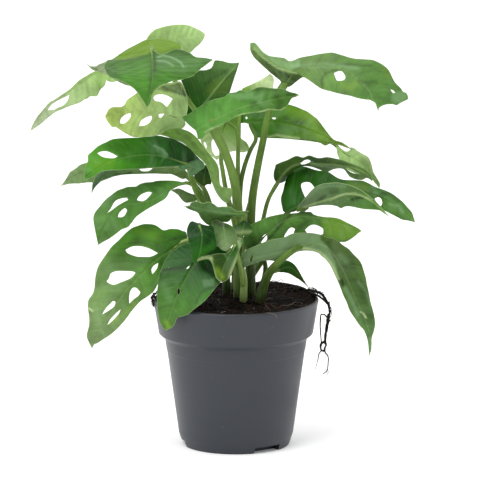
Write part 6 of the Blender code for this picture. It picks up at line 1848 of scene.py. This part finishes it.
def smooth_route(points: Sequence[Vector], step: float) -> list[Vector]:
    """A smooth line through places in space.

    Args:
        points: the places to pass through.
        step: about how long each straight piece gets, in metres.

    Returns:
        The finer line's points.
    """
    route = []
    last = len(points) - 1
    for index, (first, second) in enumerate(zip(points, points[1:])):
        reach = (second - first).length / 3.0
        leave = (second - points[max(index - 1, 0)]).normalized() * reach
        arrive = (points[min(index + 2, last)] - first).normalized() * reach
        steps = max(1, round(3.0 * reach / step))
        route += interpolate_bezier(first, first + leave, second - arrive, second, steps + 1)[:-1]
    return route + [points[-1]]


def drawn_route(places: str, step: float) -> list[Vector]:
    """A smooth line in space through places on the drawing."""
    return smooth_route([from_drawing(*place) for place in path(places)], step)


def spun(profile: Sequence[Point], steps: int, soft: float = 0.0) -> bmesh.types.BMesh:
    """Spin a profile about the pot's axis.

    Args:
        profile: each corner's radius and height in mm, from the axis back to the axis.
        steps: how many sides the body gets.
        soft: how far from each corner its rounding starts in mm, 0 for none.

    Returns:
        The closed body.
    """
    bm = bmesh.new()
    corners = [bm.verts.new((radius * MM, 0.0, height * MM)) for radius, height in profile]
    for first, second in zip(corners, corners[1:]):
        bm.edges.new((first, second))
    if soft:
        bmesh.ops.bevel(
            bm, geom=corners[1:-1], offset=soft * MM, affect="VERTICES", segments=3,
            profile=0.5, clamp_overlap=True, material=-1,
        )
    bmesh.ops.spin(
        bm, geom=bm.verts[:] + bm.edges[:], cent=(0.0, 0.0, 0.0), axis=(0.0, 0.0, 1.0),
        angle=math.tau, steps=steps, use_merge=True,
    )
    bmesh.ops.remove_doubles(bm, verts=bm.verts, dist=0.01 * MM)
    bmesh.ops.recalc_face_normals(bm, faces=bm.faces)
    return bm


@dataclass
class Stalk:
    """A tube along a route: a stem, a petiole, a root or a fibre.

    radii: its radius in mm at each point of the route.
    tones and pales: numbers for its finish at each point, all 0 where none are given.
    groove and groove_angle: how deep a channel runs along it, as a share of its
    radius, and how wide it is, in radians.
    """

    route: list[Vector]
    radii: list[float]
    tones: Sequence[float] = ()
    pales: Sequence[float] = ()
    steps: int = 14
    groove: float = 0.0
    groove_angle: float = 0.55

    CHANNEL = (-0.5, -0.85, 0.1)  # the side that the channel faces at the foot

    def frames(self) -> list[Matrix]:
        """Lay frames along the route.

        Returns:
            A frame at every point, as large as the tube there, its Z along the route.
        """
        frames = []
        across = Vector(self.CHANNEL)
        for index, point in enumerate(self.route):
            before = self.route[max(index - 1, 0)]
            along = (self.route[min(index + 1, len(self.route) - 1)] - before).normalized()
            across = (across - along * across.dot(along)).normalized()
            turn = Matrix((across, along.cross(across), along)).transposed().to_4x4()
            size = Matrix.Scale(self.radii[index] * MM, 4)
            frames.append(Matrix.Translation(point) @ turn @ size)
        return frames

    def add_to(self, bm: bmesh.types.BMesh) -> None:
        """Sweep a ring along the route and close both its ends.

        Args:
            bm: the bmesh that gets the tube.
        """
        tones, pales = (numbers or [0.0] * len(self.route) for numbers in (self.tones, self.pales))
        layers = bm.verts.layers
        sweep = layers.float_vector.get("sweep") or layers.float_vector.new("sweep")
        tone = layers.float.get("tone") or layers.float.new("tone")
        pale = layers.float.get("pale") or layers.float.new("pale")
        ring = bmesh.ops.create_circle(bm, cap_ends=True, segments=self.steps, radius=1.0)["verts"]
        for vertex in ring:
            angle = math.atan2(vertex.co.y, vertex.co.x)
            vertex.co *= 1.0 - self.groove * math.exp(-((angle / self.groove_angle) ** 2))
        frames = self.frames()
        bmesh.ops.transform(bm, matrix=frames[0], verts=ring)
        edges = list({edge for vertex in ring for edge in vertex.link_edges})
        faces = set(ring[0].link_faces)
        along = 0.0
        for index, frame_here in enumerate(frames):
            if index:
                made = bmesh.ops.extrude_edge_only(bm, edges=edges)["geom"]
                ring = [part for part in made if isinstance(part, bmesh.types.BMVert)]
                kept = set(ring)
                edges = [
                    part for part in made
                    if isinstance(part, bmesh.types.BMEdge) and kept.issuperset(part.verts)
                ]
                move = frame_here @ frames[index - 1].inverted()
                bmesh.ops.transform(bm, matrix=move, verts=ring)
                along += (self.route[index] - self.route[index - 1]).length
            back = frame_here.inverted()
            for vertex in ring:
                local = back @ vertex.co * self.radii[index] * MM
                vertex[sweep] = Vector((local.x, local.y, along))
                vertex[tone], vertex[pale] = tones[index], pales[index]
                faces.update(vertex.link_faces)
        faces.update(bmesh.ops.edgeloop_fill(bm, edges=edges)["faces"])
        bmesh.ops.recalc_face_normals(bm, faces=list(faces))

    def piece(self, name: str, finish: bpy.types.Material) -> Piece:
        """Make the tube as a piece of its own.

        Args:
            name: the piece's name.
            finish: its material.

        Returns:
            The piece.
        """
        bm = bmesh.new()
        self.add_to(bm)
        return Piece(name, bm, finish)


@dataclass
class Shoot:
    """A stem with the petioles that grow from it, joined into one skin.

    overlap: how near to its blade's base in mm a petiole's own places stop.
    swelling: how much thicker it gets, as a share, over swell_span in mm before its blade.
    thin_end: the share of its radius that is left where it ends under the blade.
    """

    name: str
    tubes: tuple[Tube, ...]
    leaves: dict[str, Leaf]
    station: float = 2.6
    taper: float = 0.7
    fade: float = 2.0
    overlap: float = 6.0
    swelling: float = 0.12
    swell_span: Point = (12.0, 4.0)
    thin_end: float = 0.28
    groove: float = 0.16

    def stalk(self, tube: Tube) -> Stalk:
        """Lay out one tube, run on under its blade's base.

        Args:
            tube: the stem or petiole as drawn.

        Returns:
            The tube with its radii and the numbers for its finish.
        """
        points = [from_drawing(*point) for point in path(tube.path)]
        tail = 0.0
        if tube.blade:
            seat = self.leaves[tube.blade].seat(tube.radii[1])
            tail = self.leaves[tube.blade].tail
            while len(points) > 2 and (points[-1] - seat[0]).length < self.overlap * MM:
                points.pop()
            points += seat
        route = smooth_route(points, self.station * MM)
        first, last = tube.radii
        far_off, near_by = self.swell_span
        count = len(route) - 1
        rests = [0.0]
        for near, far in zip(route[:0:-1], route[-2::-1]):
            rests.append(rests[-1] + (near - far).length / MM)
        radii = []
        for index, rest in enumerate(reversed(rests)):
            radius = first + (last - first) * (index / count) ** self.taper
            if tube.blade:
                swell = smooth_step(-rest, -tail - far_off, -tail - near_by)
                radius *= 1.0 + self.swelling * swell
                radius *= self.thin_end + (1.0 - self.thin_end) * smooth_step(rest, 0.0, tail + 1.0)
            radii.append(radius)
        look = STALK_LOOKS.get(tube.blade or self.name, StalkLook())
        # The tones darken towards the foot, partly as painted shade near the soil
        shares = [(1.0 - index / count) ** self.fade for index in range(count + 1)]
        tones = [look.end + (look.foot - look.end) * share for share in shares]
        return Stalk(route, radii, tones, [look.pale] * (count + 1), groove=self.groove)

    def build(self) -> None:
        """Make the shoot's piece and dress it."""
        name = self.name.replace("shoot_", "petioles_")
        skin = StalkFinish(seed=float(len(name))).material(f"{name}_skin")
        pieces = [
            self.stalk(tube).piece(f"{name}_{index}" if index else name, skin)
            for index, tube in enumerate(self.tubes)
        ]
        trunk = pieces[0].combine("UNION", pieces[1:]) if len(pieces) > 1 else pieces[0]
        trunk.shade(60.0).belong("petiole_green", self.name)


@dataclass
class Root:
    """A surface root of several strands, with rootlets.

    Lengths are in millimetres. threads: how many cling to a millimetre of the first
    strand; stray: how far from it they and the crumbs may lie; thread_reach: the share of
    it where they start. Between the pale_radii a strand turns from pale to dark.
    """

    name: str
    tubes: tuple[Tube, ...]
    rootlets: int = 18
    threads: float = 0.32
    stray: float = 1.5
    station: float = 1.5
    wobble: float = 0.45
    bend: float = 6.0
    lump: float = 2.6
    unevenness: float = 0.28
    pale_radii: Point = (0.3, 0.7)
    rootlet_radii: Point = (0.12, 0.22)
    rootlet_step: Point = (0.8, 1.9)
    thread_radii: Point = (0.16, 0.34)
    thread_bend: float = 5.0
    thread_reach: float = 0.62
    crumb_radii: Point = (0.3, 0.9)

    def strand(self, tube: Tube, number: int) -> Stalk:
        """Lay out one strand, a little crooked and of uneven thickness.

        Args:
            tube: the strand as drawn.
            number: its number in the root.

        Returns:
            The strand.
        """
        route = drawn_route(tube.path, self.station * MM)
        count = len(route) - 1
        first, last = tube.radii
        radii = []
        for index, point in enumerate(route):
            share = index / count
            shift = noise.noise_vector(point / (self.bend * MM) + Vector((0.0, 0.0, number)))
            route[index] = point + shift * self.wobble * MM * smooth_step(share, 0.0, 0.1)
            uneven = 1.0 + self.unevenness * noise.noise(point / (self.lump * MM))
            radii.append((first + (last - first) * share**0.7) * uneven)
        thin, thick = self.pale_radii
        pales = [smooth_step(-radius, -thick, -thin) for radius in radii]
        return Stalk(route, radii, pales=pales, steps=10)

    def rootlet(self, parent: Stalk, chance: random.Random) -> Stalk:
        """Lay out a short thin rootlet.

        Args:
            parent: the strand that it starts in.
            chance: the root's random numbers.

        Returns:
            The rootlet.
        """
        start = chance.randrange(len(parent.route) // 3, len(parent.route) - 1)
        aim = Vector((chance.uniform(-1.0, 1.0), chance.uniform(-0.6, 0.6), -chance.uniform(0.3, 1.2)))
        points = [parent.route[start]]
        for _ in range(4):
            turn = Vector((chance.uniform(-0.6, 0.6), chance.uniform(-0.5, 0.5), -0.25))
            aim = (aim.normalized() + turn).normalized()
            points.append(points[-1] + aim * chance.uniform(*self.rootlet_step) * MM)
        route = smooth_route(points, 0.9 * MM)
        thick = chance.uniform(*self.rootlet_radii)
        radii = [thick * (1.0 - 0.6 * index / len(route)) for index in range(len(route))]
        return Stalk(route, radii, pales=[1.0] * len(route), steps=6)

    def tangle(self, name: str, strand: Stalk, chance: random.Random) -> Piece:
        """Make the fine threads and crumbs that cling to a strand.

        Args:
            name: the root's name.
            strand: the strand.
            chance: the root's random numbers.

        Returns:
            The threads and crumbs as one piece.
        """
        bm = bmesh.new()
        finish = RootFinish(thin=RootFinish.skin).material(f"{name}_threads")
        for number in range(round(self.threads * self.station * len(strand.route))):
            start = chance.randrange(0, round(len(strand.route) * self.thread_reach))
            run = strand.route[start:start + chance.randrange(5, 18):2]
            points = []
            for place in run:
                spot = place / (self.thread_bend * MM) + Vector((7.3 * number, 0.0, 0.0))
                shift = noise.noise_vector(spot)
                points.append(place + shift * (self.stray * (1.0 + chance.random())) * MM)
            if len(points) > 1:
                route = smooth_route(points, 1.2 * MM)
                thick = chance.uniform(*self.thread_radii)
                Stalk(route, [thick] * len(route), steps=5).add_to(bm)
            crumb = run[0] + Vector([chance.uniform(-1.0, 1.0) for _ in range(3)]) * self.stray * MM
            size = Matrix.Diagonal([chance.uniform(*self.crumb_radii) * MM for _ in range(3)] + [1.0])
            bmesh.ops.create_icosphere(
                bm, subdivisions=1, radius=1.0, matrix=Matrix.Translation(crumb) @ size
            )
        return Piece(f"{name}_threads", bm, finish)

    def build(self) -> None:
        """Make the root's piece and dress it."""
        name = self.name.replace("root_", "air_root_")
        chance = random.Random(SEED + len(name))
        skin = RootFinish().material(f"{name}_skin")
        strands = [self.strand(tube, number) for number, tube in enumerate(self.tubes)]
        twigs = [self.rootlet(chance.choice(strands[:1]), chance) for _ in range(self.rootlets)]
        pieces = [
            stalk.piece(f"{name}_{index}" if index else name, skin)
            for index, stalk in enumerate(strands + twigs)
        ]
        self.tangle(name, strands[0], chance).shade(70.0).belong("root_brown")
        pieces[0].combine("UNION", pieces[1:]).shade(70.0).belong("root_brown", self.name)


@dataclass
class Pot:
    """The nursery pot: rim band, body, foot and three drainage notches.

    Sizes are in millimetres.
    """

    rim: float = 60.0
    height: float = 107.5
    band_height: float = 26.0
    band_foot: float = 55.6
    lip: float = 1.0
    neck_drop: float = 2.6
    neck: float = 51.6
    foot: float = 41.6
    foot_height: float = 9.0
    ring_drop: float = 8.5
    ring: float = 0.4
    base: float = 38.6
    chamfer: float = 0.8
    chamfer_height: float = 2.0
    wall: float = 1.4
    floor: float = 1.6
    notches: int = 3
    notch_height: float = 4.6
    notch_angle: float = 33.0
    first_notch: float = -54.0
    notch_inner: float = 31.0
    drain: float = 2.6
    soft: float = 0.55
    soft_inside: float = 0.4
    steps: int = 180

    @property
    def mouth(self) -> float:
        """The radius of the mouth."""
        return self.rim - 1.3 * self.wall

    @property
    def band_bottom(self) -> float:
        """The height of the band's lower edge."""
        return self.height - self.band_height

    @property
    def slope(self) -> float:
        """How far the rim band leans out, as radius per height."""
        return (self.rim - self.band_foot) / self.band_height

    @property
    def body_top(self) -> float:
        """The height where the body begins under the band."""
        return self.band_bottom - self.neck_drop

    def body_radius(self, height: float) -> float:
        """The outer radius of the plain body at a height."""
        share = (height - self.foot_height) / (self.band_bottom - self.foot_height)
        return self.foot + (self.neck - self.foot) * share

    def outside(self) -> list[Point]:
        """Lay out the pot's outer side.

        Returns:
            Its radii and heights from the closed top down to the base.
        """
        low = self.band_bottom
        ring_top = self.body_top - self.ring_drop
        return [
            (0.0, self.height),
            (self.rim - self.lip, self.height),
            (self.rim, self.height - self.lip),
            (self.rim - self.ring, self.height - 3.0 * self.lip),
            (self.band_foot + self.ring, low + self.lip),
            (self.band_foot - 2.0 * self.ring, low),
            (self.body_radius(self.body_top) + self.ring, self.body_top),
            (self.body_radius(ring_top) + self.ring, ring_top),
            (self.body_radius(ring_top), ring_top - 2.0 * self.ring),
            (self.foot, self.foot_height),
            (self.base + self.chamfer, self.chamfer_height),
            (self.base, 0.0),
            (0.0, 0.0),
        ]

    def inside(self) -> list[Point]:
        """Lay out the pot's cavity.

        Returns:
            Its radii and heights from above the rim down to the floor.
        """
        above = self.height + 2.0
        return [
            (0.0, above),
            (self.mouth, above),
            (self.mouth, self.height - self.lip),
            (self.band_foot - self.wall, self.band_bottom + self.lip),
            (self.body_radius(self.body_top) - self.wall, self.body_top - self.lip),
            (self.foot - self.wall, self.foot_height),
            (self.base - self.wall, self.floor + self.lip),
            (self.base - self.wall - self.lip, self.floor),
            (0.0, self.floor),
        ]

    def wedge(self, name: str, inner: float, height: float, angle: float, turn: float) -> Piece:
        """A block across the edge of the base, turned about the axis.

        Args:
            name: the block's name.
            inner: the radius of its inner side in mm.
            height: how high it stands in mm.
            angle: how much of the base it spans, in degrees.
            turn: where it stands about the axis, in degrees.

        Returns:
            The block.
        """
        outer, below = self.foot + 10.0, 1.0
        width = 2.0 * math.sin(math.radians(angle / 2.0)) * self.base
        bm = bmesh.new()
        bmesh.ops.create_cube(bm, size=MM)
        bmesh.ops.scale(bm, vec=(outer - inner, width, height + below), verts=bm.verts)
        middle = ((outer + inner) / 2.0 * MM, 0.0, (height - below) / 2.0 * MM)
        bmesh.ops.translate(bm, vec=middle, verts=bm.verts)
        bmesh.ops.rotate(bm, matrix=Matrix.Rotation(math.radians(turn), 3, "Z"), verts=bm.verts)
        return Piece(name, bm)

    def drill(self, name: str, radius: float, height: float, turn: float) -> Piece:
        """Make the upright round cutter of a drain hole.

        Args:
            name: its name.
            radius: how far from the axis it stands in mm.
            height: its height in mm.
            turn: where it stands about the axis, in degrees.

        Returns:
            The cutter.
        """
        bm = bmesh.new()
        bmesh.ops.create_cone(
            bm, cap_ends=True, segments=24, radius1=self.drain * MM, radius2=self.drain * MM,
            depth=5.0 * self.wall * MM,
        )
        place = Matrix.Rotation(math.radians(turn), 3, "Z") @ Vector((radius, 0.0, height)) * MM
        bmesh.ops.translate(bm, vec=place, verts=bm.verts)
        return Piece(name, bm)

    def build(self) -> None:
        """Make the pot's piece and dress it."""
        finish = PlasticFinish(
            rim=self.height, band_foot=self.band_foot, band_bottom=self.band_bottom,
            slope=self.slope, wall=self.wall,
        )
        plastic = finish.material("pot_plastic")
        pot = Piece("nursery_pot", spun(self.outside(), self.steps, self.soft), plastic)
        hoods, openings = [], []
        hood_inner = self.notch_inner - self.wall
        hood_height = self.notch_height + self.wall
        hood_angle = self.notch_angle + 2.0 * math.degrees(self.wall / self.base)
        ring = (self.notch_inner + self.base - self.wall) / 2.0
        for index in range(self.notches):
            turn = self.first_notch + index * 360.0 / self.notches
            hoods.append(self.wedge(f"hood_{index}", hood_inner, hood_height, hood_angle, turn))
            notch = self.wedge(
                f"notch_{index}", self.notch_inner, self.notch_height, self.notch_angle, turn
            )
            openings += [notch, self.drill(f"drain_{index}", ring, hood_height, turn)]
        cavity = Piece("pot_cavity", spun(self.inside(), self.steps, self.soft_inside))
        cavity.combine("DIFFERENCE", hoods)
        pot.combine("DIFFERENCE", [cavity, *openings]).shade(32.0).belong("pot_plastic", "pot")


@dataclass
class Soil:
    """The potting mix: a lumpy bed with loose crumbs and fibres on it.

    Sizes are in millimetres, turns in degrees. The margins are how far inside the pot's
    mouth crumbs may lie, fibres may start and fibres or rootlets may run.
    """

    pot: Pot
    level: float = 105.6
    heap: float = 3.0
    roughness: float = 1.3
    lump: float = 11.0
    clod: float = 3.2
    clod_rise: float = 0.55
    clod_fade: float = 2.5
    gap: float = 0.35
    hood_gap: float = 1.0
    foot_rise: float = 4.0
    foot_inset: float = 2.4
    rings: int = 64
    steps: int = 180
    crumbs: int = 420
    crumb_radii: Point = (0.35, 1.1)
    crumb_margin: float = 2.6
    fibre_margin: float = 7.0
    run_margin: float = 2.0
    big_share: float = 0.12
    big_size: float = 1.7
    fibres: int = 46
    fibre_radii: Point = (0.12, 0.3)
    fibre_step: Point = (1.3, 2.6)
    rootlet: float = 0.26
    bank: float = 4.2
    bank_turn: float = 48.0
    bank_spread: float = 34.0
    bank_radii: Point = (38.0, 54.0)

    def height(self, x: float, y: float) -> float:
        """The bed's height with its clods.

        Args:
            x: millimetres to the right of the axis.
            y: millimetres behind it.

        Returns:
            The height in millimetres.
        """
        radius = math.hypot(x, y)
        inward = self.pot.mouth - radius
        heap = self.heap * max(0.0, 1.0 - (radius / self.pot.mouth) ** 2)
        turn = (math.degrees(math.atan2(y, x)) - self.bank_turn) / self.bank_spread
        heap += self.bank * math.exp(-(turn**4)) * smooth_step(radius, *self.bank_radii)
        lumps = noise.fractal(Vector((x, y, 0.0)) / self.lump, 1.0, 2.0, 3)
        fade = min(1.0, inward / self.lump)
        clods = noise.fractal(Vector((x, y, 7.0)) / self.clod, 0.9, 2.2, 3)
        near_edge = min(1.0, max(0.0, inward / self.clod_fade))
        return self.level + heap + self.roughness * lumps * fade + self.clod_rise * clods * near_edge

    def bed(self) -> Piece:
        """Make the mix that fills the pot.

        Returns:
            The bed, lumpy on top.
        """
        pot = self.pot
        edge = pot.mouth - self.gap - pot.slope * (pot.height - self.level)
        inset = pot.wall + self.gap
        hood_inner = pot.notch_inner - pot.wall
        ledge = pot.notch_height + inset
        profile = [(edge * ring / self.rings, self.level) for ring in range(self.rings + 1)]
        profile += [
            (pot.band_foot - inset, pot.band_bottom + pot.lip),
            (pot.body_radius(pot.body_top) - inset, pot.body_top - pot.lip),
            (pot.foot - inset - self.gap, ledge + self.foot_rise),
            (pot.foot - inset - self.foot_inset, ledge),
            (hood_inner - self.hood_gap, ledge),
            (hood_inner - self.hood_gap, pot.floor + self.gap),
            (0.0, pot.floor + self.gap),
        ]
        bm = spun(profile, self.steps)
        for vertex in bm.verts:
            if vertex.co.z > (self.level - self.gap) * MM:
                vertex.co.z = self.height(vertex.co.x / MM, vertex.co.y / MM) * MM
        return Piece("soil_bed", bm, SoilFinish().material("potting_soil"))

    def on_bed(self, x: float, y: float, lift: float = 0.0) -> Vector:
        """A place on the bed, or a lift above it, at x and y in mm."""
        return Vector((x, y, self.height(x, y) + lift)) * MM

    def spot(self, chance: random.Random, reach: float) -> Vector:
        """Choose a place on the bed, evenly spread.

        Args:
            chance: the random numbers.
            reach: the largest radius in mm.

        Returns:
            The place in metres.
        """
        radius = reach * math.sqrt(chance.random())
        turn = chance.uniform(0.0, math.tau)
        return self.on_bed(radius * math.cos(turn), radius * math.sin(turn))

    def loose_crumbs(self) -> Piece:
        """Make the crumbs of peat and bark that lie on the bed.

        Returns:
            The crumbs as one piece.
        """
        chance = random.Random(SEED)
        bm = bmesh.new()
        for _ in range(self.crumbs):
            size = chance.uniform(*self.crumb_radii)
            size *= self.big_size if chance.random() < self.big_share else 1.0
            place = self.spot(chance, self.pot.mouth - self.crumb_margin)
            shape = Vector((chance.uniform(0.6, 1.5), chance.uniform(0.6, 1.2), chance.uniform(0.5, 0.9)))
            turn = Matrix.Rotation(chance.uniform(0.0, math.tau), 4, "Z")
            turn = turn @ Matrix.Rotation(chance.uniform(-0.6, 0.6), 4, "X")
            matrix = Matrix.Translation(place) @ turn @ Matrix.Diagonal((*(shape * size * MM), 1.0))
            made = bmesh.ops.create_icosphere(bm, subdivisions=1, radius=1.0, matrix=matrix)
            for vertex in made["verts"]:
                away = vertex.co - place
                vertex.co = place + away * (1.0 + 0.5 * noise.noise(vertex.co / (0.9 * MM)))
        return Piece("soil_crumbs", bm, SoilFinish(grains=0.6).material("soil_crumbs"))

    def loose_fibres(self) -> Piece:
        """Make the fibres and fine rootlets that lie on the bed.

        Returns:
            The fibres as one piece.
        """
        chance = random.Random(SEED + 1)
        bm = bmesh.new()
        for _ in range(self.fibres):
            place = self.spot(chance, self.pot.mouth - self.fibre_margin)
            turn = chance.uniform(0.0, math.tau)
            points = []
            for _ in range(chance.choice((3, 4, 5))):
                lift = chance.uniform(-0.2, 0.7)
                points.append(self.on_bed(place.x / MM, place.y / MM, lift))
                turn += chance.uniform(-0.7, 0.7)
                stride = chance.uniform(*self.fibre_step) * MM
                place += Vector((math.cos(turn), math.sin(turn), 0.0)) * stride
                if math.hypot(place.x, place.y) > (self.pot.mouth - self.run_margin) * MM:
                    turn += math.pi
                    place += Vector((math.cos(turn), math.sin(turn), 0.0)) * 2.0 * stride
            route = smooth_route(points, 1.6 * MM)
            thick = chance.uniform(*self.fibre_radii)
            Stalk(route, [thick] * len(route), steps=5).add_to(bm)
        for rootlet in ROOTLETS:
            route = drawn_route(rootlet, 1.2 * MM)
            for index, place in enumerate(route):
                x, y = place.x / MM, place.y / MM
                if math.hypot(x, y) < self.pot.mouth - self.run_margin:
                    route[index] = self.on_bed(x, y, 0.3 + 0.5 * noise.noise(place / (3.0 * MM)))
            Stalk(route, [self.rootlet] * len(route), steps=5).add_to(bm)
        return Piece("soil_fibres", bm, FibreFinish().material("dry_fibres"))

    def build(self) -> None:
        """Make the bed, its crumbs and its fibres."""
        self.bed().shade(60.0).belong("potting_soil", "soil")
        self.loose_crumbs().shade(50.0).belong("potting_soil")
        self.loose_fibres().shade(60.0).belong("root_brown")


@dataclass
class Studio:
    """A plain pale floor, soft light and the camera.

    sky and room: how bright the light is overhead and behind, and in front at eye level.
    front and top: between which directions' Y, and Z, the room gives way to the sky.
    lamps: place, size and watts of each soft box, all aimed at the same height.
    """

    floor_size: float = 24.0
    floor_drop: float = 0.02 * MM
    sky: float = 1.25
    room: float = 0.12
    front: Point = (-0.75, -0.1)
    top: Point = (0.35, 0.75)
    lamps: tuple[tuple[DeepPoint, float, float], ...] = (((-1.2, -1.6, 2.6), 1.6, 45.0),)
    lens: float = 455.8
    film: float = 36.0
    far: float = 60.0
    aim_height: float = 0.15

    def light_sky(self) -> None:
        """Light the scene from overhead and behind, with a dark room in front."""
        shader = Shader("studio_sky", world=True)
        aim = shader.output("ShaderNodeTexCoord", {}, {}, "Generated")
        _, y, z = shader.split(aim)
        front = shader.band(y, *self.front, 1.0, 0.0) * shader.band(z, *self.top, 1.0, 0.0)
        strength = front * (self.room - self.sky) + self.sky
        bpy.context.scene.world = shader.finish(Color=(1.0, 1.0, 1.0), Strength=strength)

    def add_lamp(self, place: DeepPoint, size: float, watts: float) -> None:
        """Add a square soft box aimed at the plant.

        Args:
            place: where it stands in metres.
            size: its side in metres.
            watts: its power.
        """
        lamp = bpy.data.lights.new("soft_box", "AREA")
        lamp.shape, lamp.size, lamp.energy = "SQUARE", size, watts
        box = bpy.data.objects.new("soft_box", lamp)
        box.location = place
        aim = Vector((0.0, 0.0, self.aim_height)) - box.location
        box.rotation_euler = aim.to_track_quat("-Z", "Y").to_euler()
        box.visible_camera = False
        bpy.context.scene.collection.objects.link(box)

    def place_camera(self) -> None:
        """Put the camera at the drawing's eye."""
        lens = bpy.data.cameras.new("front")
        lens.lens, lens.sensor_width, lens.clip_end = self.lens, self.film, self.far
        camera = bpy.data.objects.new("front", lens)
        forward, _ = eye_axes()
        camera.location = EYE_TARGET - EYE_DISTANCE * forward
        camera.rotation_euler = forward.to_track_quat("-Z", "Y").to_euler()
        bpy.context.scene.collection.objects.link(camera)
        bpy.context.scene.camera = camera

    def build(self) -> None:
        """Set up the floor, the light and the camera."""
        bm = bmesh.new()
        bmesh.ops.create_grid(bm, x_segments=1, y_segments=1, size=self.floor_size / 2.0)
        bmesh.ops.translate(bm, vec=(0.0, 0.0, -self.floor_drop), verts=bm.verts)
        floor = Piece("studio_floor", bm, FloorFinish().material("pale_paper"))
        self.light_sky()
        for place, size, watts in self.lamps:
            self.add_lamp(place, size, watts)
        self.place_camera()
        bpy.context.scene.view_settings.view_transform = "Standard"


def main() -> None:
    """Build the plant and its pot."""
    logging.basicConfig(level=logging.INFO, format="%(message)s")
    noise.seed_set(SEED)
    leaves = {blade.name: Leaf(blade, LOOKS[blade.name]) for blade in BLADES}
    pot = Pot()
    pot.build()
    Soil(pot).build()
    for leaf in leaves.values():
        leaf.build()
    for name, tubes in SHOOTS.items():
        Shoot(name, tubes, leaves).build()
    for name, tubes in ROOTS.items():
        Root(name, tubes).build()
    Studio().build()


if __name__ == "__main__":
    main()
